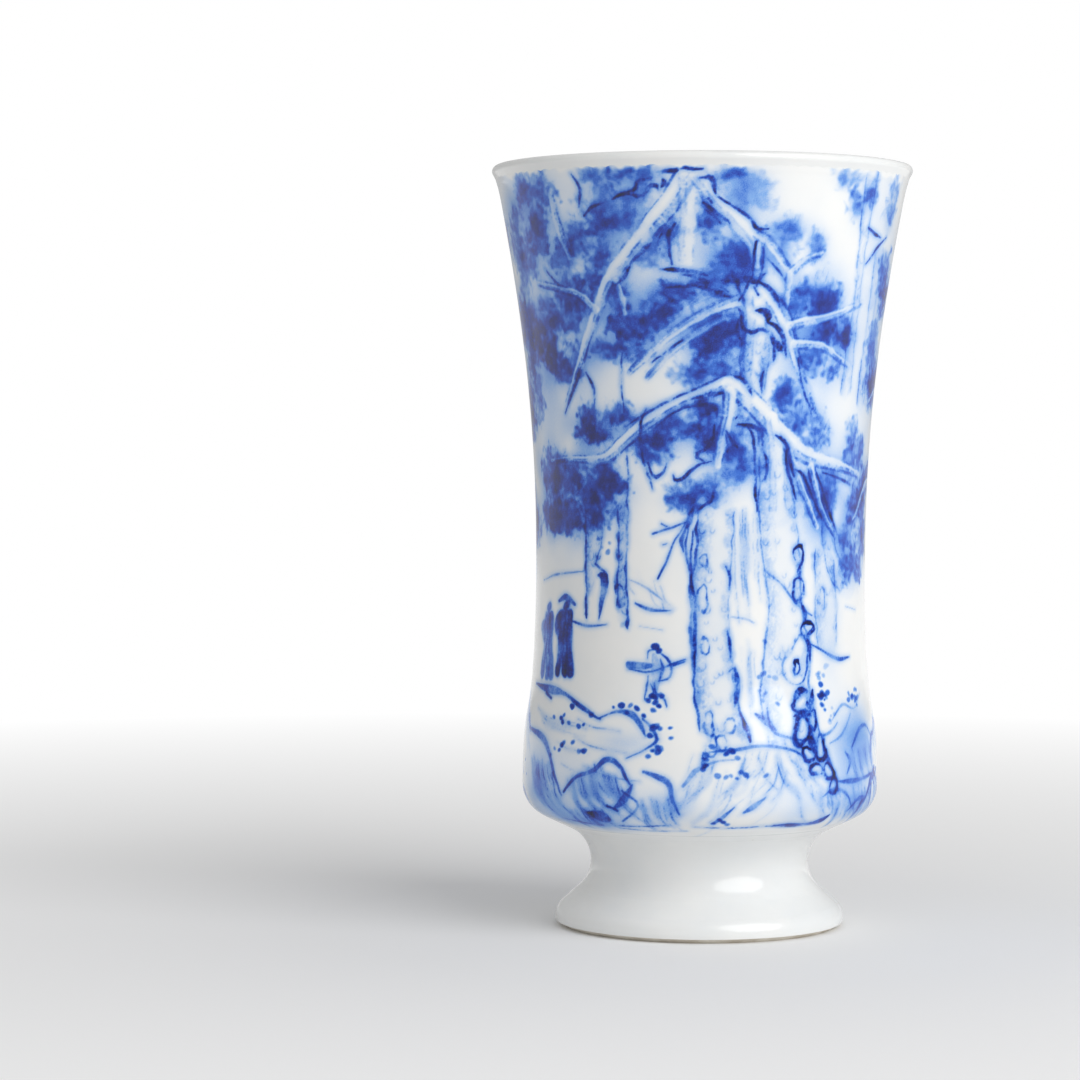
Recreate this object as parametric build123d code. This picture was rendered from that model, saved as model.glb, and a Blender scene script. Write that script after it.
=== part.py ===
"""A tall footed teacup in porcelain, in millimetres.

The cup is turned round +Z and stands on z = 0, so every piece is one closed outline in the
plane y = 0, spun round the axis. The clay comes in two thrown pieces, the bowl and the hollow
foot, and a ring of slip sticks them together. Three coats of glaze lie on the clay: one blown
on outside, one swirled round inside and one brushed into the hollow of the foot. The foot's
resting ring and the bevels beside it stay bare.

A radius or a height below is that of the finished, glazed surface. Each run of an outline is
a function of its depth under that surface: a coat of glaze is drawn at depth 0 outside and at
depth GLAZE inside, and the clay beneath it at depth GLAZE, so the two meet face to face.
"""

import os
from math import acos, atan2, cos, degrees, hypot, radians, sin, sqrt

from build123d import *

# Overall sizes
HEIGHT = 119.4
RIM_R = 33.0
BELLY_R = 27.9
WAIST_R = 25.85
WAIST_Z = 53.0

# The wall bends through three more stations. Each is a share of the way in height, and a share
# of the way in radius, from belly to waist (hip) or from waist to rim (flare and collar).
HIP_RISE = 0.46
HIP_SPREAD = 0.56
FLARE_RISE = 0.63
FLARE_SPREAD = 0.35
COLLAR_RISE = 0.91
COLLAR_SPREAD = 0.78

# The lip is a round bead that leans outwards
LIP_BEAD_R = 0.85
LIP_OUTER_LEAN = 32.0
LIP_INNER_LEAN = 18.0

# The foot is narrowest at its neck and spreads to a round rim. The cove that forms the neck
# and the round of the rim are shares of the neck's height.
NECK_R = 17.15
NECK_Z = 10.2
COVE_SHARE = 0.56
FOOT_R = 22.7
FOOT_ROUND_SHARE = 0.275
FOOT_ROUND_Z_SHARE = 0.14

# Under the bowl a cone runs from the cove out to the round below the belly
BELLY_ABOVE_NECK = 12.1
UNDERSIDE_ANGLE = 26.5

# The bare clay under the foot: a level ring to rest on, with a bevel on either side
BARE_BAND = 0.7
BARE_BEVEL = 0.95
RESTING_RING = 1.7

# Thicknesses of the fired clay together with its glaze
COLLAR_WALL = 1.7
FLARE_WALL = 1.9
WAIST_WALL = 2.2
BASIN_WALL = 2.9
NECK_WALL = 3.4
FLOOR = 4.0
GLAZE = 0.25

# The bowl is thrown with a flat base, which a ring of slip sticks to the top of the foot
BASE_ABOVE_NECK = 2.8
SLIP = 0.6

# The inside of the bowl turns from wall to floor on a quarter round
BASIN_R = 8.5


def point(r, z):
    """A point of an outline, at a radius and a height."""
    return Vector(r, 0, z)


def step(angle, length):
    """A step of this length, at an angle in degrees above the horizontal."""
    return point(length * cos(radians(angle)), length * sin(radians(angle)))


def between(start, end, share):
    """The value at this share of the way from start to end."""
    return start + (end - start) * share


def bend(centre, radius, start, end):
    """An arc round a centre, from one angle in degrees to another."""
    angles = (start, (start + end) / 2, end)
    return ThreePointArc(*(centre + step(angle, radius) for angle in angles))


def spun(edges):
    """The solid that a closed outline sweeps round the axis."""
    return revolve(make_face(edges), Axis.Z)


# ------------------------------------------------------------- places that the runs share

BELLY_Z = NECK_Z + BELLY_ABOVE_NECK
BASE_Z = NECK_Z + BASE_ABOVE_NECK
FLOOR_Z = BASE_Z + FLOOR
BASIN_Z = FLOOR_Z + BASIN_R

LIP = point(RIM_R - LIP_BEAD_R, HEIGHT - LIP_BEAD_R)

COVE_R = NECK_Z * COVE_SHARE
COVE = point(NECK_R + COVE_R, NECK_Z)

FOOT_ROUND_R = NECK_Z * FOOT_ROUND_SHARE
FOOT_ROUND = point(FOOT_R - FOOT_ROUND_R, NECK_Z * FOOT_ROUND_Z_SHARE)

HIP_R = between(BELLY_R, WAIST_R, HIP_SPREAD)
HIP_Z = between(BELLY_Z, WAIST_Z, HIP_RISE)
FLARE_R = between(WAIST_R, RIM_R, FLARE_SPREAD)
FLARE_Z = between(WAIST_Z, HEIGHT, FLARE_RISE)
COLLAR_R = between(WAIST_R, RIM_R, COLLAR_SPREAD)
COLLAR_Z = between(WAIST_Z, HEIGHT, COLLAR_RISE)


def belly_round_radius():
    """The round below the belly: upright at the belly, and tangent to the underside's cone."""
    rise = (BELLY_Z - COVE.Z) * cos(radians(UNDERSIDE_ANGLE))
    run = (BELLY_R - COVE.X) * sin(radians(UNDERSIDE_ANGLE))
    return (rise - run - COVE_R) / (1 - sin(radians(UNDERSIDE_ANGLE)))


def foot_slope_angle():
    """How steeply the foot falls where one straight line touches both the cove and the rim."""
    across = COVE.X - FOOT_ROUND.X
    up = COVE.Z - FOOT_ROUND.Z
    touching = (COVE_R + FOOT_ROUND_R) / hypot(across, up)
    return 90 - degrees(atan2(up, across) - acos(touching))


BELLY_ROUND_R = belly_round_radius()
BELLY_ROUND = point(BELLY_R - BELLY_ROUND_R, BELLY_Z)
FOOT_SLOPE = foot_slope_angle()


def cove_angle_at(z, depth):
    """The angle round the cove's centre at which its surface has a height z."""
    return 180 - degrees(atan2(z - COVE.Z, sqrt((COVE_R + depth) ** 2 - (z - COVE.Z) ** 2)))


def foot_round_angle_at(z, depth):
    """The angle round the foot's rim at which its surface has a height z."""
    fall = z - FOOT_ROUND.Z
    return degrees(atan2(fall, sqrt((FOOT_ROUND_R - depth) ** 2 - fall**2)))


# ---------------------------------------------------------------------- runs of the outline


def lip_outside(depth):
    """The outer half of the lip's bead, from its crest down to the wall."""
    return bend(LIP, LIP_BEAD_R - depth, 90, -LIP_OUTER_LEAN)


def lip_inside(depth):
    """The inner half of the lip's bead, from its crest down to the wall."""
    return bend(LIP, LIP_BEAD_R - depth, 90, 180 - LIP_INNER_LEAN)


def wall_outside(depth):
    """The wall from the lip down: out of the collar, in to the waist and out to the belly."""
    return Spline(
        LIP + step(-LIP_OUTER_LEAN, LIP_BEAD_R - depth),
        point(COLLAR_R - depth, COLLAR_Z),
        point(FLARE_R - depth, FLARE_Z),
        point(WAIST_R - depth, WAIST_Z),
        point(HIP_R - depth, HIP_Z),
        point(BELLY_R - depth, BELLY_Z),
        tangents=(step(-90 - LIP_OUTER_LEAN, 1), step(-90, 1)),
    )


def wall_inside(depth):
    """The wall from the lip down to the basin, a wall's thickness inside the outer one."""
    return Spline(
        LIP + step(180 - LIP_INNER_LEAN, LIP_BEAD_R - depth),
        point(COLLAR_R - COLLAR_WALL + depth, COLLAR_Z),
        point(FLARE_R - FLARE_WALL + depth, FLARE_Z),
        point(WAIST_R - WAIST_WALL + depth, WAIST_Z),
        point(BELLY_R - BASIN_WALL + depth, BASIN_Z),
        tangents=(step(-90 - LIP_INNER_LEAN, 1), step(-90, 1)),
    )


def basin(depth):
    """The quarter round from the inner wall to the floor, and the floor in to the axis."""
    centre = point(BELLY_R - BASIN_WALL - BASIN_R, BASIN_Z)
    quarter = bend(centre, BASIN_R + depth, 0, -90)
    return [quarter, Line(quarter @ 1, point(0, FLOOR_Z - depth))]


def underside(depth, bottom):
    """The round below the belly, the cone, and the cove down to a height on it."""
    belly_round = bend(BELLY_ROUND, BELLY_ROUND_R - depth, 0, UNDERSIDE_ANGLE - 90)
    cove = bend(COVE, COVE_R + depth, 90 + UNDERSIDE_ANGLE, cove_angle_at(bottom, depth))
    return [belly_round, Line(belly_round @ 1, cove @ 0), cove]


def foot_outside(depth, top):
    """The foot from a height on the cove down to the bare band."""
    cove = bend(COVE, COVE_R + depth, cove_angle_at(top, depth), 270 - FOOT_SLOPE)
    foot_end = foot_round_angle_at(BARE_BAND, depth)
    foot_round = bend(FOOT_ROUND, FOOT_ROUND_R - depth, 90 - FOOT_SLOPE, foot_end)
    return [cove, Line(cove @ 1, foot_round @ 0), foot_round]


def resting_radii():
    """The outer and the inner radius of the level ring that the cup rests on."""
    edge = (foot_outside(GLAZE, NECK_Z)[-1] @ 1).X
    return edge - BARE_BEVEL, edge - BARE_BEVEL - RESTING_RING


def hollow(depth, top):
    """The hollow of the foot, from the bare band up to a height above the neck."""
    mouth_r = resting_radii()[1] - BARE_BEVEL - GLAZE + depth
    neck = point(NECK_R - NECK_WALL + depth, NECK_Z)
    rise = Spline(point(mouth_r, BARE_BAND), neck, tangents=(step(90, 1), step(90, 1)))
    return [rise, Line(neck, point(neck.X, top))]


# ------------------------------------------------------------------------------ the pieces


def cup_bowl():
    """The thrown bowl, from the crest of the lip to its flat base."""
    under = underside(GLAZE, BASE_Z)
    inside = [lip_inside(GLAZE), wall_inside(GLAZE), *basin(GLAZE)]
    base = [
        Line(under[-1] @ 1, point(0, BASE_Z)),
        Line(point(0, BASE_Z), inside[-1] @ 1),
    ]
    return spun([lip_outside(GLAZE), wall_outside(GLAZE), *under, *base, *inside])


def slip_joint():
    """The ring of slip between the bowl's base and the top of the foot."""
    low = BASE_Z - SLIP
    outer = bend(COVE, COVE_R + GLAZE, cove_angle_at(BASE_Z, GLAZE), cove_angle_at(low, GLAZE))
    inner_r = (hollow(GLAZE, low)[-1] @ 1).X
    return spun([
        outer,
        Line(outer @ 1, point(inner_r, low)),
        Line(point(inner_r, low), point(inner_r, BASE_Z)),
        Line(point(inner_r, BASE_Z), outer @ 0),
    ])


def pedestal_foot():
    """The thrown foot, from the slip down to its bevels and its resting ring."""
    outside = foot_outside(GLAZE, BASE_Z - SLIP)
    inside = hollow(GLAZE, BASE_Z - SLIP)
    outer_r, inner_r = resting_radii()
    bare = Polyline(outside[-1] @ 1, point(outer_r, 0), point(inner_r, 0), inside[0] @ 0)
    top = Line(inside[-1] @ 1, outside[0] @ 0)
    return spun([*outside, *bare.edges(), *inside, top])


def outer_glaze():
    """The clear coat over the painting, from the crest of the lip to the bare band."""
    skin = [lip_outside(0), wall_outside(0), *underside(0, NECK_Z), *foot_outside(0, NECK_Z)]
    bed = [
        lip_outside(GLAZE),
        wall_outside(GLAZE),
        *underside(GLAZE, NECK_Z),
        *foot_outside(GLAZE, NECK_Z),
    ]
    ends = [Line(skin[0] @ 0, bed[0] @ 0), Line(skin[-1] @ 1, bed[-1] @ 1)]
    return spun([*skin, *bed, *ends])


def inner_glaze():
    """The coat inside the bowl, from the crest of the lip to the middle of the floor."""
    skin = [lip_inside(0), wall_inside(0), *basin(0)]
    bed = [lip_inside(GLAZE), wall_inside(GLAZE), *basin(GLAZE)]
    ends = [Line(skin[0] @ 0, bed[0] @ 0), Line(skin[-1] @ 1, bed[-1] @ 1)]
    return spun([*skin, *bed, *ends])


def base_glaze():
    """The coat in the hollow of the foot, up its wall and across the bowl's base."""
    skin = hollow(0, BASE_Z - GLAZE)
    bed = hollow(GLAZE, BASE_Z)
    ends = [
        Line(skin[0] @ 0, bed[0] @ 0),
        Line(skin[-1] @ 1, point(0, BASE_Z - GLAZE)),
        Line(point(0, BASE_Z - GLAZE), point(0, BASE_Z)),
        Line(point(0, BASE_Z), bed[-1] @ 1),
    ]
    return spun([*skin, *bed, *ends])


os.makedirs("parts", exist_ok=True)
for make_piece in (cup_bowl, slip_joint, pedestal_foot, outer_glaze, inner_glaze, base_glaze):
    piece = make_piece()
    export_step(piece, f"parts/{make_piece.__name__}.step")
    size = piece.bounding_box().size
    print(f"{make_piece.__name__}: {size.X:.2f} x {size.Y:.2f} x {size.Z:.2f} mm")
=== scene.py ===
# %% [markdown]
# # A tall footed teacup, painted in cobalt under a clear glaze
#
# The shape of this cup is settled already: the CAD model holds the thrown bowl, the foot, the
# slip between them and three coats of glaze, and it is loaded here as a frame that nothing
# moves. What is left is how the cup looks. Nearly all of that is paint. A painter holds the
# dry white clay, loads a soft brush with ground cobalt in water and works wet: pale washes
# first, then darker ones, then ink-like lines. The clear glaze over it, fired hard, makes the
# cobalt look sunk in glass.
#
# So the lesson has four parts: measure the wall, paint it, wrap the painting on it, light it.

# %% The frame, and its size before anything is added
from math import cos, pi, radians, sin, sqrt

import bmesh
import bpy
import numpy as np
from mathutils import Matrix, Vector


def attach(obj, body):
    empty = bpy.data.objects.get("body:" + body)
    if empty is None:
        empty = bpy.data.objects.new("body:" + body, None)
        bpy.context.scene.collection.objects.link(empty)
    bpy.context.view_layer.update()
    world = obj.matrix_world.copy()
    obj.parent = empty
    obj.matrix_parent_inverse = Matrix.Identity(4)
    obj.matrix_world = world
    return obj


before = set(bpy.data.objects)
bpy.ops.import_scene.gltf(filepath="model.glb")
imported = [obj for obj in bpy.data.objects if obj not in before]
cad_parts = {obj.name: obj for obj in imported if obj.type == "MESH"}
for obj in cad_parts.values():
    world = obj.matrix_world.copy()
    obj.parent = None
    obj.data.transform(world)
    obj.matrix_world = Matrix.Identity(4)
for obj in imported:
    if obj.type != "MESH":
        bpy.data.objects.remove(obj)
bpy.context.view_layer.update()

MM = 0.001
print("nodes:", sorted(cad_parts))

# %% [markdown]
# ## Where the painter works
#
# A place on the painting is two lengths in millimetres. `u` runs round the wall, measured about
# where the belly is and counted from the front, to the right. `v` is the height above the
# table; from the belly down, where the wall turns under, it goes on as a length along the skin.
# So every mark can be placed with a ruler held against the cup, and none has to know the curve.

# %% Measure the wall's outline from the outer glaze
PAINT_RADIUS = 28.0
ROUND = 2 * pi * PAINT_RADIUS

NECK_TOP = 10.5
LIP_START = 118.6
WALL_MIDDLE = 60.0
FACING_OUT = 0.1
SPAN_STEPS = 16


def curve(points, count):
    """A smooth curve through a few points, as evenly spaced points (Catmull-Rom)."""
    points = np.asarray(points, float)
    padded = np.vstack([2 * points[0] - points[1], points, 2 * points[-1] - points[-2]])
    steps = np.linspace(0, len(points) - 1, SPAN_STEPS * len(points))
    spans = np.minimum(steps.astype(int), len(points) - 2)
    t = (steps - spans)[:, None]
    a, b, c, d = (padded[spans + i] for i in range(4))
    fine = b + t / 2 * (c - a + t * (2 * a - 5 * b + 4 * c - d + t * (3 * (b - c) + d - a)))
    along = np.append(0, np.cumsum(np.hypot(*np.diff(fine[:, :2], axis=0).T)))
    even = np.linspace(0, along[-1], count)
    return np.stack([np.interp(even, along, column) for column in fine.T], axis=1)


def wall_outline():
    """Radius and height of the outer glaze's skin along one meridian, from the neck up."""
    rings = {}
    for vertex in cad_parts["outer_glaze"].data.vertices:
        place = vertex.co / MM
        radius = place.xy.length
        outward = vertex.normal.xy.dot(place.xy) / radius
        if outward > FACING_OUT and place.z > NECK_TOP:
            ring = round(place.z, 2)
            rings[ring] = max(radius, rings.get(ring, 0))
    return np.array([(rings[z], z) for z in sorted(rings) if z < LIP_START])


outline = wall_outline()
low_wall = outline[outline[:, 1] < WALL_MIDDLE]
belly_height = low_wall[low_wall[:, 0].argmax(), 1]
print("rings on the wall:", len(outline), "from", outline[0], "to", outline[-1])
print("the belly is widest at", belly_height, "mm")

# %% [markdown]
# ## The painter's tools
#
# The unrolled wall is one big sheet of cells, each holding how much cobalt lies on it: 0 is
# white clay, 1 is as much as a full brush leaves. The painting could be one picture, but a
# picture can't be mended, and a pattern made in the shader only repeats. So it is painted here
# mark by mark, as a person would, and each mark can be moved.
#
# Three things make paint look like paint. Clay is thirsty, so edges wander and a wash turns
# grainy: that is noise. A brush is wettest where it lands and where it lifts, so a stroke is
# darkest at its two ends. And strokes lie over each other, so cobalt adds up.
#
# Noise is made by blurring white noise with a Fourier filter, which also makes it join up
# where the sheet's two ends meet at the back of the cup.

# %% The sheet and its noise
PANELS = 8
PANEL_COLUMNS = 144
COLUMNS = PANELS * PANEL_COLUMNS
CELL = ROUND / COLUMNS
PAINT_LOW = 13.0
PAINT_HIGH = 117.8
ROWS = int((PAINT_HIGH - PAINT_LOW) / CELL)

random = np.random.default_rng(20)
cobalt = np.zeros((ROWS, COLUMNS))
print("cells:", cobalt.shape, "of", round(CELL, 3), "mm")


def blurred(field, reach):
    """A sheet blurred over a reach in millimetres, right round the cup."""
    rows = np.fft.fftfreq(ROWS, CELL)[:, None]
    columns = np.fft.rfftfreq(COLUMNS, CELL)[None, :]
    blur = np.exp(-((rows**2 + columns**2) * reach**2))
    return np.fft.irfft2(np.fft.rfft2(field) * blur, field.shape)


def noise(size):
    """Smooth noise with blots of about this size in millimetres, mean 0 and deviation 1."""
    field = blurred(random.normal(size=cobalt.shape), 2.2 * size)
    return field / field.std()


GRAIN = noise(0.22)
SPECKLE = noise(0.5)
BLOT = noise(1.1)
CLOUD = noise(3.0)
print("the broadest noise runs from", round(CLOUD.min(), 1), "to", round(CLOUD.max(), 1))

# %% Cells in reach of a mark, and cobalt laid on them or lifted off
FULLEST = 1.3


def window(u_low, u_high, v_low, v_high):
    """The cells in a window of the sheet: their index, and where each one lies."""
    columns = np.arange(int(u_low / CELL), int(u_high / CELL) + 2)
    low = max(0, int((v_low - PAINT_LOW) / CELL))
    rows = np.arange(low, max(low, min(ROWS, int((v_high - PAINT_LOW) / CELL) + 2)))
    uu, vv = np.meshgrid(columns * CELL, PAINT_LOW + rows * CELL)
    return np.ix_(rows, columns % COLUMNS), uu, vv


def ramp(low, high, value):
    """0 below low, 1 above high, and a smooth step between."""
    t = np.clip((value - low) / (high - low), 0, 1)
    return t * t * (3 - 2 * t)


def report(what):
    """Prints how much of the wall is painted so far."""
    print(what + ": cobalt on", round(100 * (cobalt > 0.1).mean(), 1), "percent of the wall")


def lay(cells, amount):
    """Cobalt laid over what is there; the more lies there, the less is taken up."""
    there = cobalt[cells]
    cobalt[cells] = there + amount * np.maximum(0, 1 - there / FULLEST)


def wipe(cells, share):
    """Clay kept white, or cobalt lifted with a damp brush."""
    cobalt[cells] *= 1 - share


# %% A brush's trail, and one stroke of it
HALO = 1.0
TRAIL_STEP = 0.6
OUTSIDE = -9.0
WHITE_EDGE = 0.22


def trail(points, wobble):
    """How far inside a brush's trail each cell lies, in millimetres, and the brush's load there.

    The points are (u, v, width). Outside the trail the distance is negative.
    """
    points = np.asarray(points, float)
    if len(points) > 2:
        length = np.hypot(*np.diff(points[:, :2], axis=0).T).sum()
        points = curve(points, max(9, int(length / TRAIL_STEP)))
    margin = points[:, 2].max() / 2 + HALO
    low, high = points.min(0) - margin, points.max(0) + margin
    cells, uu, vv = window(low[0], high[0], low[1], high[1])
    inside, load = np.full(uu.shape, OUTSIDE), np.zeros(uu.shape)
    if not inside.size:
        return cells, inside, load
    origin = vv[0, 0], uu[0, 0]
    uu = uu + wobble * BLOT[cells]
    vv = vv + wobble * CLOUD[cells]
    share = np.linspace(0, 1, len(points))
    wet = 0.8 + 0.2 * np.cos(2 * pi * share) + 0.12 * np.sin(9 * share + points[0, 0])
    for step, (start, end) in enumerate(zip(points[:-1], points[1:])):
        reach = max(start[2], end[2]) / 2 + HALO
        near = tuple(
            slice(
                max(0, int((min(start[axis], end[axis]) - reach - first) / CELL)),
                max(0, int((max(start[axis], end[axis]) + reach - first) / CELL) + 2),
            )
            for axis, first in ((1, origin[0]), (0, origin[1]))
        )
        to_u, to_v = uu[near] - start[0], vv[near] - start[1]
        du, dv = end[0] - start[0], end[1] - start[1]
        t = np.clip((to_u * du + to_v * dv) / (du * du + dv * dv + 1e-9), 0, 1)
        depth = (start[2] + t * (end[2] - start[2])) / 2 - np.hypot(to_u - t * du, to_v - t * dv)
        load[near] = np.where(depth > inside[near], wet[step], load[near])
        inside[near] = np.maximum(inside[near], depth)
    return cells, inside, load


def tapered(points, ends):
    """The same trail with its two ends drawn out; at 0 they come to a point."""
    points = np.array(points, float)
    points[0, 2] *= ends
    points[-1, 2] *= ends
    return points


def stroke(points, amount=0.8, dry=0.2, wobble=0.06, soft=0.12, bleed=0.14, ends=0.35):
    """One pull of a wet brush. dry is how much the bristles skip, bleed how far it creeps."""
    cells, inside, load = trail(tapered(points, ends), wobble)
    body = ramp(-soft, soft, inside) * load
    skips = np.clip(1 + dry * (0.5 * GRAIN[cells] + 0.8 * BLOT[cells]), 0, 2)
    halo = bleed * np.exp(-((np.minimum(inside, 0) / 0.45) ** 2)) * (inside > -HALO)
    lay(cells, amount * np.maximum(body * skips, halo))


def keep_white(points, share):
    """A limb or a path left in the white of the clay."""
    cells, inside, _ = trail(points, 0.12)
    wipe(cells, share * ramp(-WHITE_EDGE, WHITE_EDGE, inside))


straight = [(0, 50, 1.0), (10, 50, 1.0)]
print("a stroke 10 mm long and 1 mm wide wets", int((trail(straight, 0)[1] > 0).sum()), "cells")

# %% Pools, dots and tints, which have a middle and no path
WASH_EDGE = 0.6
DOT_LENGTH = 1.4
TINT_FALL = 1.4


def round_window(u, v, half_width, half_height, reach):
    """The cells within so many half widths and half heights of a place."""
    return window(
        u - reach * half_width, u + reach * half_width,
        v - reach * half_height, v + reach * half_height,
    )


def wash(u, v, half_width, half_height, amount):
    """A pool of watered cobalt with a wandering, feathered edge."""
    cells, uu, vv = round_window(u, v, half_width, half_height, 1.8)
    far = np.hypot((uu - u) / half_width, (vv - v) / half_height)
    depth = 1 - far + 0.25 * (0.5 * BLOT[cells] + 0.45 * CLOUD[cells] + 0.12 * SPECKLE[cells])
    grain = np.clip(1 + 0.07 * GRAIN[cells] + 0.12 * SPECKLE[cells] + 0.14 * BLOT[cells], 0, 2)
    lay(cells, amount * ramp(-WASH_EDGE, WASH_EDGE, depth) * grain)


def dot(u, v, size, amount):
    """One press of the brush's tip, a little longer than it is wide."""
    cells, uu, vv = round_window(u, v, size, size, 2)
    lean = 0.5 * sin(3 * u + 2 * v)
    along = (uu - u) * cos(lean) + (vv - v) * sin(lean)
    across = (vv - v) * cos(lean) - (uu - u) * sin(lean)
    depth = size / 2 - np.hypot(along / DOT_LENGTH, across) + 0.05 * SPECKLE[cells]
    lay(cells, amount * ramp(-0.12, 0.12, depth))


def tint(u, v, half_width, half_height, amount):
    """A breath of very thin wash with no edge at all."""
    cells, uu, vv = round_window(u, v, half_width, half_height, 2)
    far = ((uu - u) / half_width) ** 2 + ((vv - v) / half_height) ** 2
    lay(cells, amount * np.exp(-TINT_FALL * far) * np.clip(1 + 0.3 * CLOUD[cells], 0, 2))


def each(tool, marks):
    """One of the painter's tools, used for one mark after another."""
    for mark in marks:
        tool(*mark)


report("before the first mark")

# %% [markdown]
# ## Pines
#
# A pine is painted from the foliage down. Each clump is a cluster of wet dabs that run into
# each other, darker low down, with short needles feathered out of its edge. The limbs are the
# white clay itself. A painter leaves them out from the start, which here would mean cutting
# every clump to shape, so they are lifted out of the foliage afterwards. Thin lines and a
# little shading down one side are all that draws them.

# %% Foliage
NEEDLES_PER_MM = 5


def needles(u, v, half_width, half_height, count, amount):
    """Short soft strokes that fan outwards from a clump."""
    for _ in range(count):
        turn = random.uniform(0, 2 * pi)
        out = random.uniform(0.6, 1.0)
        foot_u = u + out * half_width * cos(turn)
        foot_v = v + out * half_height * sin(turn)
        lean = turn + random.normal(0, 0.5)
        reach = random.uniform(0.6, 1.4)
        stroke(
            [
                (foot_u, foot_v, 0.26),
                (foot_u + reach * cos(lean), foot_v + reach * sin(lean), 0.16),
            ],
            amount * random.uniform(0.3, 1.0),
            bleed=0.1,
        )


def clump(u, v, half_width, half_height, amount):
    """One clump of foliage: wet dabs that run together, with hairs that fan up and out of it."""
    tint(u, v, half_width * 1.5, half_height * 1.5, 0.2 * amount)
    cells, uu, vv = window(
        u - 1.4 * half_width - 1.5, u + 1.4 * half_width + 1.5,
        v - 1.4 * half_height - 1.5, v + 1.4 * half_height + 1.5,
    )
    depth = np.full(uu.shape, OUTSIDE)
    for _ in range(int(6 + 0.9 * half_width * half_height)):
        turn = random.uniform(0, 2 * pi)
        out = random.uniform(0.1, 0.85)
        size = random.uniform(0.3, 0.6) * min(half_width, half_height) + 0.5
        to_u = uu - u - out * half_width * cos(turn)
        to_v = vv - v - out * half_height * sin(turn)
        depth = np.maximum(depth, size - np.hypot(to_u, 1.15 * to_v))
    fan = np.arctan2(uu - u, vv - v + 1.6 * half_height)
    hairs = np.interp(fan, np.linspace(-pi, pi, 200), random.normal(size=200))
    depth += 0.45 * BLOT[cells] + 0.28 * SPECKLE[cells] + 0.1 * hairs
    low = ramp(1.2, -1.2, (vv - v) / half_height)
    tone = 0.42 + 0.22 * low + 0.05 * hairs + 0.16 * CLOUD[cells] + 0.1 * SPECKLE[cells]
    lay(cells, amount * ramp(-1.0, 1.0, depth) * np.clip(tone, 0.08, 1.2))
    for _ in range(int(3 + 0.8 * half_width * half_height)):
        turn = random.uniform(0, 2 * pi)
        out = random.uniform(0, 0.85)
        at_v = v + out * half_height * sin(turn) - 0.1 * half_height
        size = random.uniform(0.6, 1.3)
        wash(u + out * half_width * cos(turn), at_v, size, 0.8 * size,
             random.uniform(0.1, 0.34) * amount)
    count = int(NEEDLES_PER_MM * (half_width + half_height))
    needles(u, v, half_width, half_height, count, 0.42 * amount)


print("a clump 8 mm wide and 4 mm tall gets", NEEDLES_PER_MM * (4 + 2), "needles")

# %% Limbs
LIMB_STEPS = 26


def beside(path, share):
    """A line along a limb, at a share of its half width to the right of its way."""
    heading = np.gradient(path[:, :2], axis=0)
    heading /= np.hypot(*heading.T)[:, None] + 1e-9
    aside = np.stack([heading[:, 1], -heading[:, 0]], axis=1)
    return path[:, :2] + aside * path[:, 2:] * share / 2


def limb(points, line=0.7, shaded=1, share=0.92):
    """A white limb through (u, v, width) points, with shading along one of its sides."""
    path = curve(points, LIMB_STEPS)
    path[:, 2] *= 1.2
    keep_white(path, share)
    beat = np.arange(LIMB_STEPS)
    press = 0.2 + 0.26 * np.abs(np.sin(beat * 0.45 + path[0, 0]))
    body = 0.5 * path[:, 2]
    stroke(np.column_stack([beside(path, shaded * 0.62), body]), 0.34 * line, soft=0.45, dry=0.5)
    stroke(np.column_stack([beside(path, shaded), press * 1.3]), line, dry=0.4)
    stroke(np.column_stack([beside(path, -shaded), press * 0.8]), line * 0.6, dry=0.7)
    stroke(np.column_stack([beside(path, shaded * 0.2), press * 0.8]), line * 0.42, dry=1.2)


upright = np.array([(0, 0, 2.0), (0, 5, 2.0), (0, 10, 2.0)])
print("the right edge of an upright limb 2 mm wide:", beside(upright, 1).round(2).tolist())

# %% Bark, and the scars in it
BARK_STEPS = 60
HOOK_STEPS = 6
RING_STEPS = 14


def knot(u, v, half_width, half_height, amount, press=0.3):
    """A scar in the bark: a lopsided oval, with the brush pressed hardest on one side."""
    turn = np.linspace(0.4, 2 * pi + 0.3, RING_STEPS)
    out = 1 + 0.16 * np.sin(2 * turn + 3 * u) + 0.12 * np.sin(3 * turn + 2 * v)
    weight = press * (0.55 + 1.7 * np.abs(np.sin(0.5 * turn + 0.9 * u + 0.4 * v)))
    ring = np.column_stack([
        u + half_width * out * np.cos(turn), v + half_height * out * np.sin(turn), weight,
    ])
    stroke(ring, amount, dry=0.5, wobble=0.12)


def scale_mark(u, v, size, amount):
    """One scale of pine bark: a short hooked stroke."""
    turn = np.linspace(0.1, 1.1 * pi, HOOK_STEPS) + random.uniform(-0.6, 0.2)
    side = random.choice((-1, 1))
    hook_u = u + side * size * np.cos(turn)
    hook_v = v - 1.3 * size * np.sin(turn)
    stroke(np.column_stack([hook_u, hook_v, np.full(HOOK_STEPS, 0.22)]), amount)


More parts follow.
